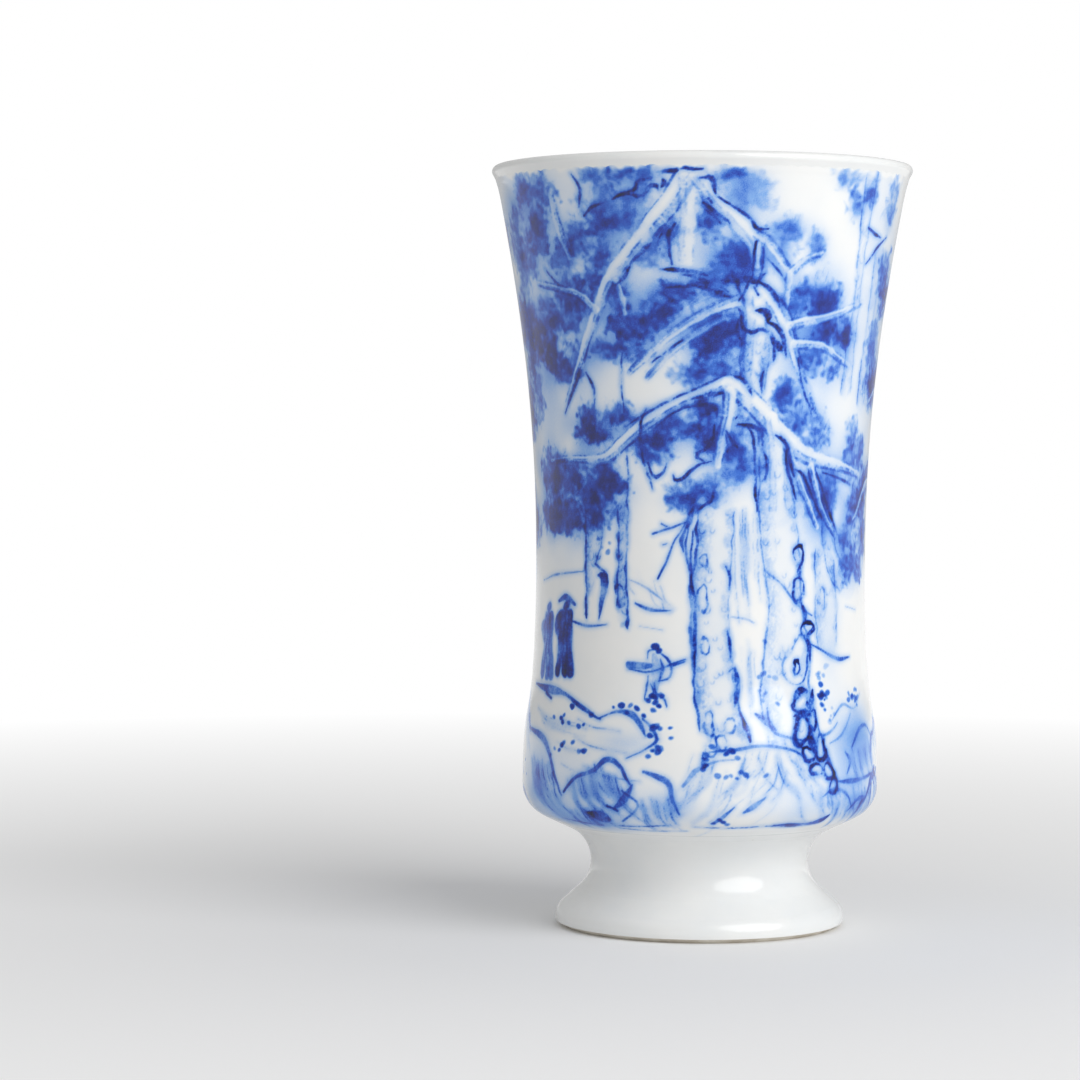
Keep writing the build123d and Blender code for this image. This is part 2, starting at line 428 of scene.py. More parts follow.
def bark(left, right, amount, scales):
    """A trunk between two edges, each a few (u, v, width) points from the top down."""
    left_line, right_line = curve(left, BARK_STEPS), curve(right, BARK_STEPS)
    body = (left_line + right_line) / 2
    body[:, 2] = (right_line - left_line)[:, 0]
    cells, inside, _ = trail(body, 0.1)
    lay(cells, 0.05 * amount * ramp(-0.3, 0.6, inside))
    beat = 0.55 + 0.4 * np.abs(np.sin(np.arange(BARK_STEPS) * 0.33 + left_line[0, 0]))
    for line, press in ((left_line, 1.15), (right_line, 0.9)):
        edge = line * (1, 1, 0.68)
        edge[:, 2] *= beat
        stroke(edge, amount * press, dry=0.35, wobble=0.1)
    for inset, pale, width in ((0.12, 0.24, 1.2), (0.27, 0.1, 1.6), (0.9, 0.17, 1.0)):
        inner = left_line + (right_line - left_line) * inset
        inner[:, 2] = width * np.minimum(1, body[:, 2] / 5)
        stroke(inner, pale * amount, dry=0.7, wobble=0.3, soft=0.5)
    for place in random.uniform(0.02, 0.98, 2 * scales):
        row = int(place * (BARK_STEPS - 1))
        across = random.beta(0.55, 0.8)
        u, v = (left_line[row] + (right_line[row] - left_line[row]) * across)[:2]
        scale_mark(u, v, random.uniform(0.25, 0.62), amount * random.uniform(0.2, 0.75))


print("a trunk's edge has", BARK_STEPS, "places, a scar's ring", RING_STEPS)

# %% [markdown]
# ## The front of the painting
#
# The front is composed one mark at a time: three old pines lean into each other, their limbs
# opening in wide white arrowheads one above the other. A generator could fill the space with
# trees, but not lead the eye down to the walkers, so each mark is placed by itself, in
# millimetres: the palest and farthest first, and the darkest touches last.

# %% The sky and the far foliage
SKY_TINTS = (
    (-30, 108, 8, 11, 0.34), (-25, 92, 9, 11, 0.34), (-27, 69, 10, 9, 0.36),
    (-12, 108, 6, 9, 0.26), (6, 104, 6, 8, 0.12), (3, 76, 6, 8, 0.2),
    (21, 92, 8, 8, 0.16), (26, 68, 8, 8, 0.22), (32, 106, 5, 12, 0.2),
    (5, 113, 4, 3.5, 0.3), (-2, 94, 5, 5, 0.14), (30, 60, 7, 5, 0.3),
    (24, 48, 4, 8, 0.12), (13, 106, 4, 4, 0.26), (36, 86, 6, 9, 0.2),
    (20, 91, 6, 6, 0.34), (17, 98, 5, 4, 0.3), (18, 78, 5, 4, 0.34), (6, 75, 4, 5, 0.3),
    (-6, 78, 6, 3.4, 0.34), (-3, 98, 8, 3, 0.34), (2, 89, 5, 5, 0.3), (4, 103, 6, 4, 0.3),
    (-10, 93, 7, 5, 0.34), (8, 88, 2.4, 6, 0.2), (-14, 108, 5, 8, 0.3), (22, 66, 5, 6, 0.3),
)
for u, v, half_width, half_height, amount in SKY_TINTS:
    tint(u, v, half_width, half_height, 0.6 * amount)

each(clump, (
    (-27, 115, 4.4, 2.6, 0.8), (-26.4, 109, 2.4, 4.4, 0.8), (-32.5, 105.5, 4, 7, 0.75),
    (-21.4, 102.8, 1.8, 3.4, 0.7), (-18.4, 107.6, 2.2, 3, 0.7), (-14.8, 111, 2.4, 3.4, 0.55),
    (-15, 104.4, 1.8, 2.8, 0.8), (-9.2, 116.0, 2.8, 1.5, 0.75), (-15.2, 116, 1.4, 1.4, 0.5),
    (-9.8, 110.8, 2.8, 3.4, 0.5), (-7, 105, 2.5, 2.8, 0.5), (-4.4, 108, 1.1, 1.2, 0.5),
    (0.9, 109.2, 2, 3.2, 0.62), (3.6, 116.3, 1.8, 1.2, 0.5), (6.4, 113.4, 2.6, 2.2, 0.2),
    (12.4, 107.9, 1.8, 1.5, 0.42), (16.6, 105.4, 1.8, 2.1, 0.42), (11, 104.6, 1.6, 1.6, 0.16),
    (24, 112, 1.3, 2.2, 0.36), (26.6, 114.4, 1.3, 2.6, 0.6), (21.6, 116, 2, 1.2, 0.3),
    (36, 101.4, 3, 3.4, 0.75), (33.6, 113, 1.6, 4, 0.4), (35.6, 91, 2.6, 4, 0.42),
    (-34, 93, 4, 6, 0.85), (-36, 84, 4, 4, 0.6), (-17, 100.6, 2.8, 1.5, 0.85),
    (31, 73.6, 3.8, 3, 0.72), (34.6, 66.6, 3, 2.4, 0.6), (23.2, 68.6, 2.8, 3, 0.7),
    (18.4, 68.4, 1.7, 2.8, 0.45), (31.4, 57.2, 4.4, 2.2, 0.8), (29.6, 61.8, 3, 1.6, 0.55),
    (29.6, 77.6, 1.6, 1.8, 0.5), (36, 62, 3, 3, 0.6),
))
report("the sky and the far foliage")

# %% The near foliage, each clump hanging over its limb
each(clump, (
    (-19.4, 98, 2.6, 2.2, 0.85), (-12.6, 98.4, 1.6, 2.4, 0.6), (-24.4, 96, 4.6, 3, 0.85),
    (-27.4, 92, 5, 3.6, 0.95), (-24.4, 88.4, 4.8, 2.8, 1.0), (-9, 94.2, 5.2, 2.4, 0.95),
    (-12.8, 90.4, 5, 1.6, 0.9), (-6, 96.4, 2.6, 1.4, 0.8), (-2.2, 98.6, 5.4, 1.5, 0.85),
    (5, 103.2, 3.4, 2.7, 0.62), (2, 100.6, 2.4, 1.2, 0.6), (2.8, 92.6, 3.9, 3.3, 0.9),
    (3, 88.2, 2.7, 2.6, 0.9), (-1.2, 86.6, 2.6, 1.7, 0.55), (19.2, 98.2, 3, 3.4, 0.75),
    (14.6, 97.6, 1.6, 2.7, 0.45), (23.6, 93, 4.2, 1.9, 0.8), (20.4, 88.6, 4, 1.9, 0.75),
    (13.6, 83.6, 1.7, 2.7, 0.6), (-18.2, 78.2, 4, 2.6, 1.0), (-13.2, 80, 1.9, 1.2, 0.85),
    (-7.4, 75.8, 3.4, 2.3, 0.85), (-3.4, 79, 4.2, 1.9, 0.8), (1.0, 81.2, 1.8, 1.0, 0.95),
    (1, 77, 1.7, 2.4, 0.75), (6.8, 76, 2.3, 2.9, 0.7), (6.6, 72.4, 3, 1.8, 0.4),
    (-28, 71.4, 6, 3.6, 1.0), (-17.4, 70, 4.4, 3.2, 1.0), (-28, 65, 6, 2.8, 1.0),
    (-19, 66, 3.6, 2.6, 0.95), (-2.2, 68, 2.9, 1.7, 0.8), (2, 68.8, 1.6, 1.7, 0.45),
    (19.4, 77.6, 3.8, 2.4, 0.8), (16.6, 80, 1.8, 1.8, 0.5),
))
report("the near foliage")

# %% White limbs: the first arrowhead, high on the wall
each(limb, (
    ([(-1.8, 116.2, 2.2), (-4.2, 112, 2.4), (-7, 108.4, 2.3), (-10.4, 104.4, 2.0),
      (-13.4, 101.2, 1.8), (-16, 97, 1.5), (-18.6, 92, 1.3), (-20.8, 87.6, 1.1), (-24, 82, 0.7)],
      0.7, -1),
    ([(-1.8, 115.4, 2.0), (-1.9, 110, 1.7), (-2.2, 106, 1.8), (-2.2, 103, 1.6)], 0.25, 1, 0.75),
    ([(-0.4, 115.6, 1.8), (2, 112, 2.0), (5, 109, 2.2), (7.4, 106, 1.8), (7.9, 102.6, 0.9)], 0.25),
    ([(7.6, 107.4, 1.0), (10, 105.4, 1.1), (12.8, 101.8, 0.9)], 0.4, -1),
    ([(13, 101.6, 0.8), (15.2, 103.2, 0.7), (18.2, 104.8, 0.5)], 0.4),
    ([(12.9, 101.4, 0.8), (12.9, 98.4, 0.8), (12.8, 95.6, 0.9)], 0.5),
    ([(-22.8, 113.4, 0.8), (-22.2, 109, 1.2), (-20.4, 104, 0.7)], 0.6, -1, 0.6),
    ([(-28.6, 100.4, 0.6), (-24, 99.6, 0.8), (-19.6, 98.6, 0.9), (-16.6, 96.4, 1.0)], 0.8),
    ([(-12.8, 100.4, 0.8), (-12, 98.4, 0.9), (-11.6, 95.6, 0.6)], 0.6),
))
report("the first arrowhead")

# %% White limbs: the second and third arrowheads
each(limb, (
    ([(5.6, 97.4, 1.4), (1.6, 95.9, 1.1), (-3.0, 93.2, 1.0), (-7.4, 89.8, 0.9),
      (-11.4, 86.4, 0.5)], 0.4, 1, 0.8),
    ([(3.4, 94.9, 0.7), (-0.6, 92.6, 0.8), (-4.6, 89.4, 0.7), (-8.4, 85.6, 0.4)], 0.3, 1, 0.6),
    ([(7.8, 98.2, 2.8), (8.3, 94.0, 2.6), (8.2, 90, 2.6), (8.0, 84, 2.8)], 0.25),
    ([(10, 98, 1.4), (12.4, 95.4, 1.9), (14.2, 91.4, 1.5), (16.2, 86.4, 1.0), (19.4, 80.4, 0.6)],
      0.6, -1),
    ([(13.6, 94.0, 1.2), (19, 95, 1.0), (23.6, 96, 0.9), (28.4, 97.6, 0.5)], 0.3),
    ([(14.6, 91.2, 1.3), (19.4, 91, 1.1), (23, 89.4, 0.9), (26.6, 88, 0.6)], 0.45),
    ([(3.6, 85.0, 1.8), (0, 83.5, 1.6), (-4.6, 81.4, 1.7), (-9.0, 79.0, 1.8), (-13, 76.0, 1.7),
      (-16.4, 73.8, 1.3), (-22, 73.6, 0.8), (-29.6, 73.4, 0.5)], 0.75, -1),
    ([(4.4, 85.0, 2.0), (8, 82.4, 2.4), (12, 78.6, 2.6), (15.6, 75.6, 2.3), (19.4, 73.9, 1.9),
      (25.6, 72.8, 1.4), (33, 71.2, 0.9)], 0.55),
    ([(4.6, 83.6, 1.7), (4.3, 80, 1.5), (3.4, 76.4, 1.3), (2.6, 73, 1.1)], 0.6),
    ([(11.4, 80, 1.8), (12.4, 75, 2.0), (12.8, 70, 2.2), (13, 66, 2.4)], 0.2),
    ([(15.0, 74.6, 0.9), (16.8, 71, 1.0), (18.8, 67.4, 0.9), (21, 63.6, 0.7)], 0.5),
    ([(19.4, 72.4, 1.2), (21, 68.4, 1.0), (23.4, 64.4, 0.8), (25.6, 62, 0.5)], 0.6),
))
report("the second and third arrowheads")

# %% Twigs, and the darkest touches where limbs cross
HIGH_TWIGS = (
    [(-10.4, 113.4, 0.5), (-8.9, 113.8, 0.6), (-8.5, 115, 0.6), (-7, 115.2, 0.6), (-6, 116, 0.7),
     (-4.4, 116.4, 0.7), (-3.6, 116.3, 0.8), (-2.8, 116.9, 0.6), (-1, 116.6, 0.5), (0.2, 116.6, 0.7)],
    [(-12.4, 112.4, 0.4), (-10.6, 113.2, 0.7), (-9.2, 113.1, 0.6), (-8.6, 112.7, 0.7),
     (-7.6, 113.2, 0.6), (-7.2, 114, 0.7), (-6.2, 114.4, 0.8), (-5.8, 113.6, 0.5)],
    [(-5.2, 115.2, 0.6), (-4.9, 114.6, 0.9), (-5.3, 114, 0.5)],
    [(-17, 110, 0.8), (-15.6, 111.2, 0.6), (-13.6, 112, 0.3)],
    [(-18.4, 116.4, 0.3), (-17.2, 114, 0.6), (-17.8, 111.4, 0.4)],
    [(-0.2, 115.3, 0.6), (1.2, 115.3, 0.9), (1.6, 114.2, 0.8), (1.9, 113, 0.4)],
    [(2.2, 112.6, 0.3), (4, 111.3, 0.4), (6, 110.1, 0.5), (7, 109, 0.5), (7.8, 108, 0.6),
     (9.4, 108, 0.4)],
    [(8, 107.6, 0.3), (9.4, 106.9, 0.3)],
    [(0.9, 112.4, 0.9), (1.4, 111.7, 0.7)],
    [(0.2, 111.8, 0.9), (1.2, 110.9, 0.8), (2.2, 110, 0.6), (3.4, 109.1, 0.4), (3.9, 108.6, 0.3)],
    [(0.4, 110.8, 0.6), (1.8, 109.6, 0.5), (2.6, 108.6, 0.3)],
    [(-3.6, 108.7, 0.9), (-4.4, 107.4, 0.7), (-4.5, 105, 0.5), (-4.1, 102.6, 0.4)],
    [(-5.4, 107.2, 0.5), (-6.2, 106, 0.4), (-5.8, 104.6, 0.3)],
    [(-7.0, 106.4, 0.5), (-7.9, 105, 0.7), (-9, 103.8, 0.5)],
    [(-10.4, 102.4, 0.7), (-11.3, 101, 0.8), (-12.8, 99.8, 0.6)],
    [(7.7, 106.2, 0.8), (7.5, 103.6, 0.5), (7.3, 101, 0.5)],
    [(8.8, 105.8, 0.3), (8.8, 103, 0.3), (8.3, 100.4, 0.4)],
    [(9.4, 103.6, 0.3), (11.2, 101.9, 0.4), (12.4, 100.2, 0.5)],
    [(-6, 102, 0.4), (-4, 101.9, 0.7), (-2, 101.7, 0.7), (0, 101.2, 0.8), (1.6, 100.8, 0.9)],
    [(-2.8, 101.2, 0.4), (-1, 100.8, 0.6), (1, 100, 0.6), (2.6, 99.4, 0.5), (3.8, 98.6, 0.6)],
    [(-5, 99.4, 0.4), (-2.4, 99.4, 0.7), (0, 99.7, 0.9), (1.8, 99, 1.0), (3, 98.2, 0.9),
     (4.2, 97.9, 0.5)],
    [(2.2, 100.4, 0.7), (4, 100.2, 0.7), (5.4, 100.4, 1.0), (6.6, 100.6, 1.2), (7.6, 100.2, 1.0),
     (8.8, 100, 0.5)],
    [(6.8, 100.2, 0.8), (6.4, 99, 0.6), (5.6, 97.4, 0.4)],
    [(8.6, 100, 0.7), (10, 99.2, 0.8), (11.2, 97.8, 0.8), (11.8, 96.6, 0.5)],
    [(7.6, 99.4, 0.4), (8.4, 98.2, 0.6)],
    [(1.2, 101.2, 0.6), (2.2, 100.2, 0.8), (3.4, 99.8, 0.5)],
    [(4.2, 101.2, 0.4), (5.2, 100.2, 0.8), (5.4, 98.8, 0.5), (6.4, 97.4, 0.4)],
    [(9.2, 101.4, 0.4), (8.4, 100.6, 0.7), (8, 99.4, 0.4)],
    [(-1.4, 99.6, 0.5), (0.8, 98.9, 0.8), (2.6, 98.2, 0.7), (4.2, 97.8, 0.5)],
    [(27.2, 108.8, 1.0), (29.2, 108, 0.6), (31.4, 107.4, 0.3)],
    [(28, 103.4, 0.3), (30.6, 105.8, 0.5), (33.6, 107.6, 0.4)],
    [(-26.4, 102.6, 0.3), (-23.6, 100.2, 0.6), (-21.4, 99.6, 0.4)],
)
LOW_TWIGS = (
    [(8, 95.9, 0.6), (9.2, 95.8, 1.2), (10.1, 95.3, 1.3), (10.2, 94.2, 0.8)],
    [(5.4, 96.2, 0.6), (6, 95.4, 0.8), (6, 94, 0.6), (6.6, 93, 0.7), (8, 92.7, 0.6),
     (9, 93.2, 0.6), (10.4, 92.6, 0.7), (11.2, 91.4, 1.0), (12, 90.6, 1.4), (12.6, 90, 0.8)],
    [(5.5, 94.6, 0.5), (5.4, 92.6, 0.7), (6, 91.6, 0.4)],
    [(10.2, 94.2, 0.8), (11.6, 93.6, 0.8), (12.6, 92.2, 0.9), (13, 90.6, 0.7), (13.4, 89.2, 0.4)],
    [(11.2, 90.6, 0.9), (11.4, 89.2, 0.7), (11.2, 88.4, 0.3)],
    [(9.8, 86.8, 0.3), (9.4, 85.4, 0.6), (9.6, 83.6, 0.3)],
    [(-2.8, 91.4, 0.7), (-5, 89.8, 0.5), (-7.6, 88, 0.3)],
    [(-12.4, 90, 0.3), (-12.8, 85, 0.3), (-12.4, 80.8, 0.5)],
    [(-19.4, 86.8, 0.4), (-18, 84.6, 0.6), (-18, 81.4, 0.3)],
    [(-20.6, 87, 0.6), (-22.4, 84, 0.5), (-24.6, 80.6, 0.3)],
    [(15.6, 89, 0.5), (16.2, 86, 0.4), (17.6, 82.8, 0.4), (19.4, 80.6, 0.5)],
    [(3.8, 86.3, 0.3), (0.4, 84.8, 0.4), (-4, 82.8, 0.4), (-8, 81.0, 0.5), (-12, 78.8, 0.3)],
    [(4.4, 86.3, 0.5), (6.4, 85.6, 0.6), (7.4, 84.4, 0.7), (8, 83.4, 0.5)],
    [(3.6, 83.5, 0.5), (1.2, 83.4, 0.9), (-1.6, 82.6, 0.5)],
    [(-2.4, 81.2, 0.5), (0.4, 81.9, 0.7), (2.2, 81.6, 0.9), (2.4, 80, 0.5)],
    [(-8.8, 81.2, 0.7), (-9.6, 79, 0.5), (-9.8, 76.5, 0.7), (-9.4, 74.2, 0.8)],
    [(-9.6, 74.6, 0.7), (-9.2, 72.6, 0.5), (-8.4, 70.6, 0.5), (-7.8, 69, 0.3)],
    [(-8.6, 73.2, 0.4), (-8, 71.4, 0.5), (-7.4, 70.8, 0.7), (-6, 71.6, 0.5), (-5.5, 73, 0.4)],
    [(5.8, 82.2, 0.8), (6, 80.6, 0.6), (5.4, 79.6, 0.4)],
    [(5.8, 78.8, 0.6), (7.6, 78.6, 0.8), (9, 78.2, 0.9), (9.9, 77.4, 0.8), (10, 75, 0.5)],
    [(7.4, 78.4, 0.5), (8.4, 76.8, 0.6), (8.8, 73, 0.5), (9, 69, 0.6), (9.4, 66, 0.7)],
    [(10, 75, 0.4), (10.9, 73.4, 0.6), (10.7, 71, 0.5), (10, 70.4, 0.4)],
    [(4, 77.4, 0.6), (4.3, 75, 0.7), (5.6, 74, 0.4)],
    [(4, 78, 0.4), (5, 76.4, 0.7), (6, 75.4, 0.8)],
    [(2.2, 79, 0.4), (2, 77, 0.7), (1, 75.4, 0.7), (-0.8, 74.2, 0.7), (0.6, 73.3, 0.4)],
    [(1.6, 73.4, 0.5), (-0.6, 72.6, 0.5), (-2.6, 70.8, 0.6), (-4, 70.4, 0.5), (-4.4, 71.2, 0.4)],
    [(2, 69, 0.7), (1.8, 67.6, 0.8), (0.6, 66.8, 0.6), (-0.4, 66, 0.5)],
    [(0, 69, 0.4), (1.2, 68, 0.5)],
    [(12.2, 77.4, 0.5), (13.6, 76.6, 0.7), (14.6, 75.2, 0.8), (15.2, 73, 0.7), (15.9, 71, 0.5)],
    [(14.2, 75, 0.5), (14.6, 72, 0.6), (15.6, 70, 0.6), (16.4, 67.6, 0.5)],
    [(16, 72.2, 0.4), (17.6, 71.4, 0.6), (19, 69.4, 0.6), (20, 67.6, 0.5), (22, 65, 0.4)],
    [(22, 71.6, 0.4), (25.8, 70.8, 0.5), (30, 69.6, 0.5), (34, 68.6, 0.3)],
    [(20.6, 71.6, 0.5), (22.6, 68, 0.7), (24.6, 64.6, 0.6), (26, 62.4, 0.3)],
)
FINE = (1, 1, 0.85)
for points in HIGH_TWIGS + LOW_TWIGS:
    stroke(np.array(points) * FINE, 1.15, dry=0.4)
report("the twigs")

# %% The spray of pine twigs that hangs in front of the near trunk
for points in (
    [(-1, 66.6, 0.9), (-1.8, 64.6, 1.0), (-2.2, 63.4, 0.6)],
    [(-2, 64.4, 0.3), (-4.6, 63.4, 0.35), (-7.8, 62.4, 0.9)],
    [(-2.4, 64.2, 0.3), (-4.4, 61, 0.3), (-5.6, 58, 0.4), (-6.8, 55.6, 0.8)],
    [(-2.2, 64, 0.3), (-3, 61.8, 0.7), (-2.8, 59.8, 0.5)],
    [(-1.8, 64, 0.3), (-2.4, 60.4, 0.4), (-1.8, 57, 0.8)],
    [(-6.4, 63.9, 0.6), (-5.4, 63.5, 0.3)],
    [(-6.2, 60.7, 0.5), (-5.6, 60.9, 0.3)],
):
    stroke(points, 0.85)
report("the spray")

# %% Trunks, each as its left edge and its right edge
each(bark, (
    ([(-0.4, 66, 0.6), (-0.6, 60, 0.9), (-1.5, 54, 0.7), (-1.4, 47, 0.9), (-0.9, 40, 0.6),
      (0, 33, 0.8)],
     [(5.6, 66, 0.2), (5, 58, 0.35), (4.6, 50, 0.3), (5.2, 42, 0.8), (6, 37, 0.8),
      (7.8, 31.4, 0.6)], 0.52, 16),
    ([(9.6, 68, 0.5), (10.2, 60, 0.5), (11.4, 52, 0.7), (10.6, 44, 0.7), (9.8, 37, 0.6),
      (10.8, 30.6, 0.4)],
     [(16.6, 64, 0.4), (17.4, 58, 0.6), (17.8, 51, 0.7), (19.4, 45, 0.7), (19, 38, 0.9),
      (20.6, 31, 0.8)], 0.42, 14),
    ([(-20.7, 66, 0.9), (-20.6, 58, 0.8), (-20.4, 49.4, 1.0)],
     [(-17.4, 65, 0.4), (-17.3, 61, 0.4), (-18.6, 57.4, 0.8)], 0.8, 8),
    ([(-14, 66, 0.6), (-13.9, 58, 0.6), (-14.2, 51.4, 0.5)],
     [(-12.2, 74, 0.6), (-12.4, 62, 0.8), (-12.4, 54, 0.7), (-12.1, 48, 1.0)], 0.8, 12),
    ([(6.3, 92, 0.4), (5.9, 88.6, 0.4), (6.2, 86, 0.3)],
     [(10.4, 91, 0.4), (10.3, 87, 0.3), (10, 84, 0.4)], 0.5, 12),
    ([(9.2, 78, 0.3), (9.6, 73, 0.4), (9.7, 68, 0.5)],
     [(14.4, 75, 0.5), (15.4, 70, 0.5), (16.4, 65, 0.5)], 0.45, 12),
    ([(24.6, 117, 0.5), (25.6, 105, 0.6), (26.2, 98, 0.5), (25.2, 84, 0.5)],
     [(27.4, 117, 0.7), (27.4, 108, 0.5), (27.6, 98, 0.4), (28, 84, 0.4)], 0.3, 8),
    ([(30.4, 105, 0.5), (31, 94, 0.5), (30.6, 82, 0.6)],
     [(33, 105, 0.4), (33.4, 94, 0.4), (33.4, 82, 0.4)], 0.26, 6),
    ([(20.8, 60, 0.4), (20.7, 52, 0.4), (21.2, 45, 0.3)],
     [(25.4, 58, 0.4), (26, 51, 0.6), (25.8, 45.6, 0.5)], 0.34, 8),
    ([(22, 66, 0.4), (22.6, 60, 0.4), (24, 56, 0.4), (27, 53.6, 0.5)],
     [(24.6, 66, 0.5), (26, 60, 0.5), (29, 57, 0.6), (33, 56, 0.6)], 0.45, 4),
))
report("the trunks")

# %% Scars in the bark, and the darkest touches that link them
each(stroke, (
    ([(-18, 55.8, 0.9), (-16.6, 55.4, 1.7), (-17.2, 52, 1.0), (-17.7, 49.4, 0.4)], 0.9),
    ([(-18.6, 57.6, 0.8), (-17.4, 56.8, 0.5), (-16.4, 56.4, 0.3)], 0.8),
))

each(knot, (
    (17.2, 59.2, 0.9, 1.7, 1.0, 0.28), (17.1, 54.0, 0.9, 2.0, 0.9, 0.26),
    (18.9, 48, 1.3, 1.1, 1.0, 0.34), (16.7, 43, 2.5, 3.6, 0.5, 0.24),
    (16.6, 42.2, 0.7, 1.1, 1.1, 0.28), (17.0, 36.6, 1.2, 1.5, 1.1, 0.32),
    (16.8, 32.7, 1.4, 2.1, 1.2, 0.38), (19.1, 34.2, 0.8, 1.7, 1.1, 0.3),
    (17.9, 29.0, 1.1, 1.1, 1.1, 0.3), (20.3, 29.6, 1.1, 1.6, 1.2, 0.36),
    (19.3, 26.6, 1.0, 0.9, 1.1, 0.28), (21.9, 26.2, 1.2, 1.2, 1.2, 0.32),
    (22.9, 23.9, 0.9, 1.2, 1.1, 0.28), (0.4, 52.6, 0.8, 2.2, 0.5, 0.22),
    (0.9, 45.6, 0.7, 1.4, 0.5, 0.2), (0.6, 58.6, 0.6, 1.2, 0.5, 0.2),
    (1.4, 34, 0.9, 1.6, 0.5, 0.22), (1.8, 30.6, 1.0, 1.4, 0.45, 0.22),
    (4.6, 33.4, 0.9, 1.3, 0.4, 0.22), (3.4, 31.0, 0.8, 1.1, 0.4, 0.22),
    (22.2, 52.4, 0.9, 1.5, 0.5, 0.26), (-13.6, 53, 0.8, 1.6, 0.7, 0.24),
))

for points in (
    [(19.6, 38.6, 0.8), (19.2, 37, 1.1), (18.4, 35.4, 0.6)],
    [(15.6, 34.8, 0.5), (17, 35.2, 0.8), (18.8, 34.8, 0.7)],
    [(18.4, 31.6, 0.6), (18.9, 30.6, 1.0), (18.8, 29.4, 0.5)],
    [(18.2, 46.6, 0.6), (19.2, 45.4, 0.9), (19.4, 43, 0.4)],
    [(4.6, 41.6, 0.5), (5.4, 42.4, 0.4), (6, 40.4, 0.8), (5.9, 38, 0.9), (5.5, 36.4, 0.6)],
    [(-1.1, 63, 0.4), (-1.6, 58, 0.4), (-0.9, 52, 0.5), (-0.8, 46, 0.6), (-0.9, 41, 0.4)],
    [(17.4, 57.6, 0.4), (17.2, 56.6, 0.9), (17.3, 55.6, 0.4)],
    [(17.6, 52, 0.4), (18.4, 50.6, 0.9), (18.6, 49, 0.5)],
    [(18.6, 38.4, 0.6), (17.2, 38.6, 1.1), (16, 37.8, 0.7), (15.8, 36.2, 0.5)],
    [(18.2, 33.4, 0.9), (18.4, 31.4, 1.3), (18.8, 29.8, 0.9), (19.6, 28.2, 0.8)],
    [(16.6, 34.8, 0.9), (15.6, 33.2, 0.7), (15.6, 31.4, 0.5), (16.6, 30.2, 0.8)],
    [(20.8, 31, 0.5), (21.2, 29, 0.9), (22.2, 27.4, 0.7), (23.4, 25, 0.6), (24, 23, 0.3)],
    [(6.6, 35, 0.4), (7.4, 33, 0.8), (7.9, 31.2, 0.6)],
    [(0.4, 29.4, 0.4), (0.6, 28, 0.9), (0.8, 27.4, 0.6)],
    [(4.2, 57.6, 0.3), (4.8, 56, 0.6), (4.6, 54, 0.3)],
    [(4.4, 48, 0.3), (4.9, 46, 0.5), (4.9, 43.6, 0.3)],
):
    stroke(points, 1.0, dry=0.35)
report("the scars")

# %% The far shore
each(stroke, (
    ([(-34, 54.6, 0.3), (-28, 55.8, 0.4), (-21, 56.4, 0.3)], 0.6),
    ([(-24, 48.8, 0.5), (-20.4, 48.2, 0.5), (-16, 48.6, 0.2)], 0.75),
    ([(-10.8, 51.8, 0.4), (-8.4, 51, 0.6), (-4.8, 50.8, 0.2)], 0.8),
    ([(-12, 55.4, 0.2), (-8.4, 54, 0.4), (-6, 52.4, 0.2)], 0.3),
    ([(-10, 48.4, 0.2), (-6, 47.8, 0.2)], 0.3),
    ([(5, 50, 0.2), (7.6, 49.6, 0.3), (9, 49, 0.2)], 0.35),
    ([(10.6, 57, 0.2), (14, 54.6, 0.3), (17, 51.6, 0.3), (20, 50, 0.5)], 0.55),
    ([(19.4, 45.6, 0.3), (23, 44.2, 0.4), (26.6, 43, 0.7), (30, 43, 0.3)], 0.75),
    ([(29, 51, 0.2), (33, 50.4, 0.3)], 0.4),
))
report("the far shore")

# %% Three walkers in long robes
def walker(u, v, tall, amount):
    """A small figure seen from behind: the folds of a long robe, a pack and a head."""
    marks = [
        [(0.9 * side, 0.8, 0.15), (0.7 * side, 0.5, 0.15), (1.35 * side, 0.05, 0.15)]
        for side in (-0.1, 0.03, 0.12)
    ]
    marks.append([(-0.12, 0.78, 0.1), (-0.2, 0.64, 0.15), (-0.14, 0.48, 0.08)])
    marks.append([(-0.01, 0.9, 0.11), (0.04, 0.93, 0.12)])
    for mark in marks:
        places = [(u + across * tall, v + up * tall, width * tall) for across, up, width in mark]
        stroke(places, 0.8 * amount, dry=0.2, wobble=0.12, soft=0.25, ends=0.9)
        stroke([(at_u + 0.3, at_v, 0.25 * width) for at_u, at_v, width in places], 0.5 * amount)


each(walker, ((-31.4, 39.6, 12.0, 0.7), (-25.7, 40.2, 12.0, 1.25)))

# The second one's broad hat
stroke([(-27.8, 51.7, 0.6), (-25.6, 52.4, 1.0), (-23.2, 51.3, 0.8)], 1.0, ends=0.6)

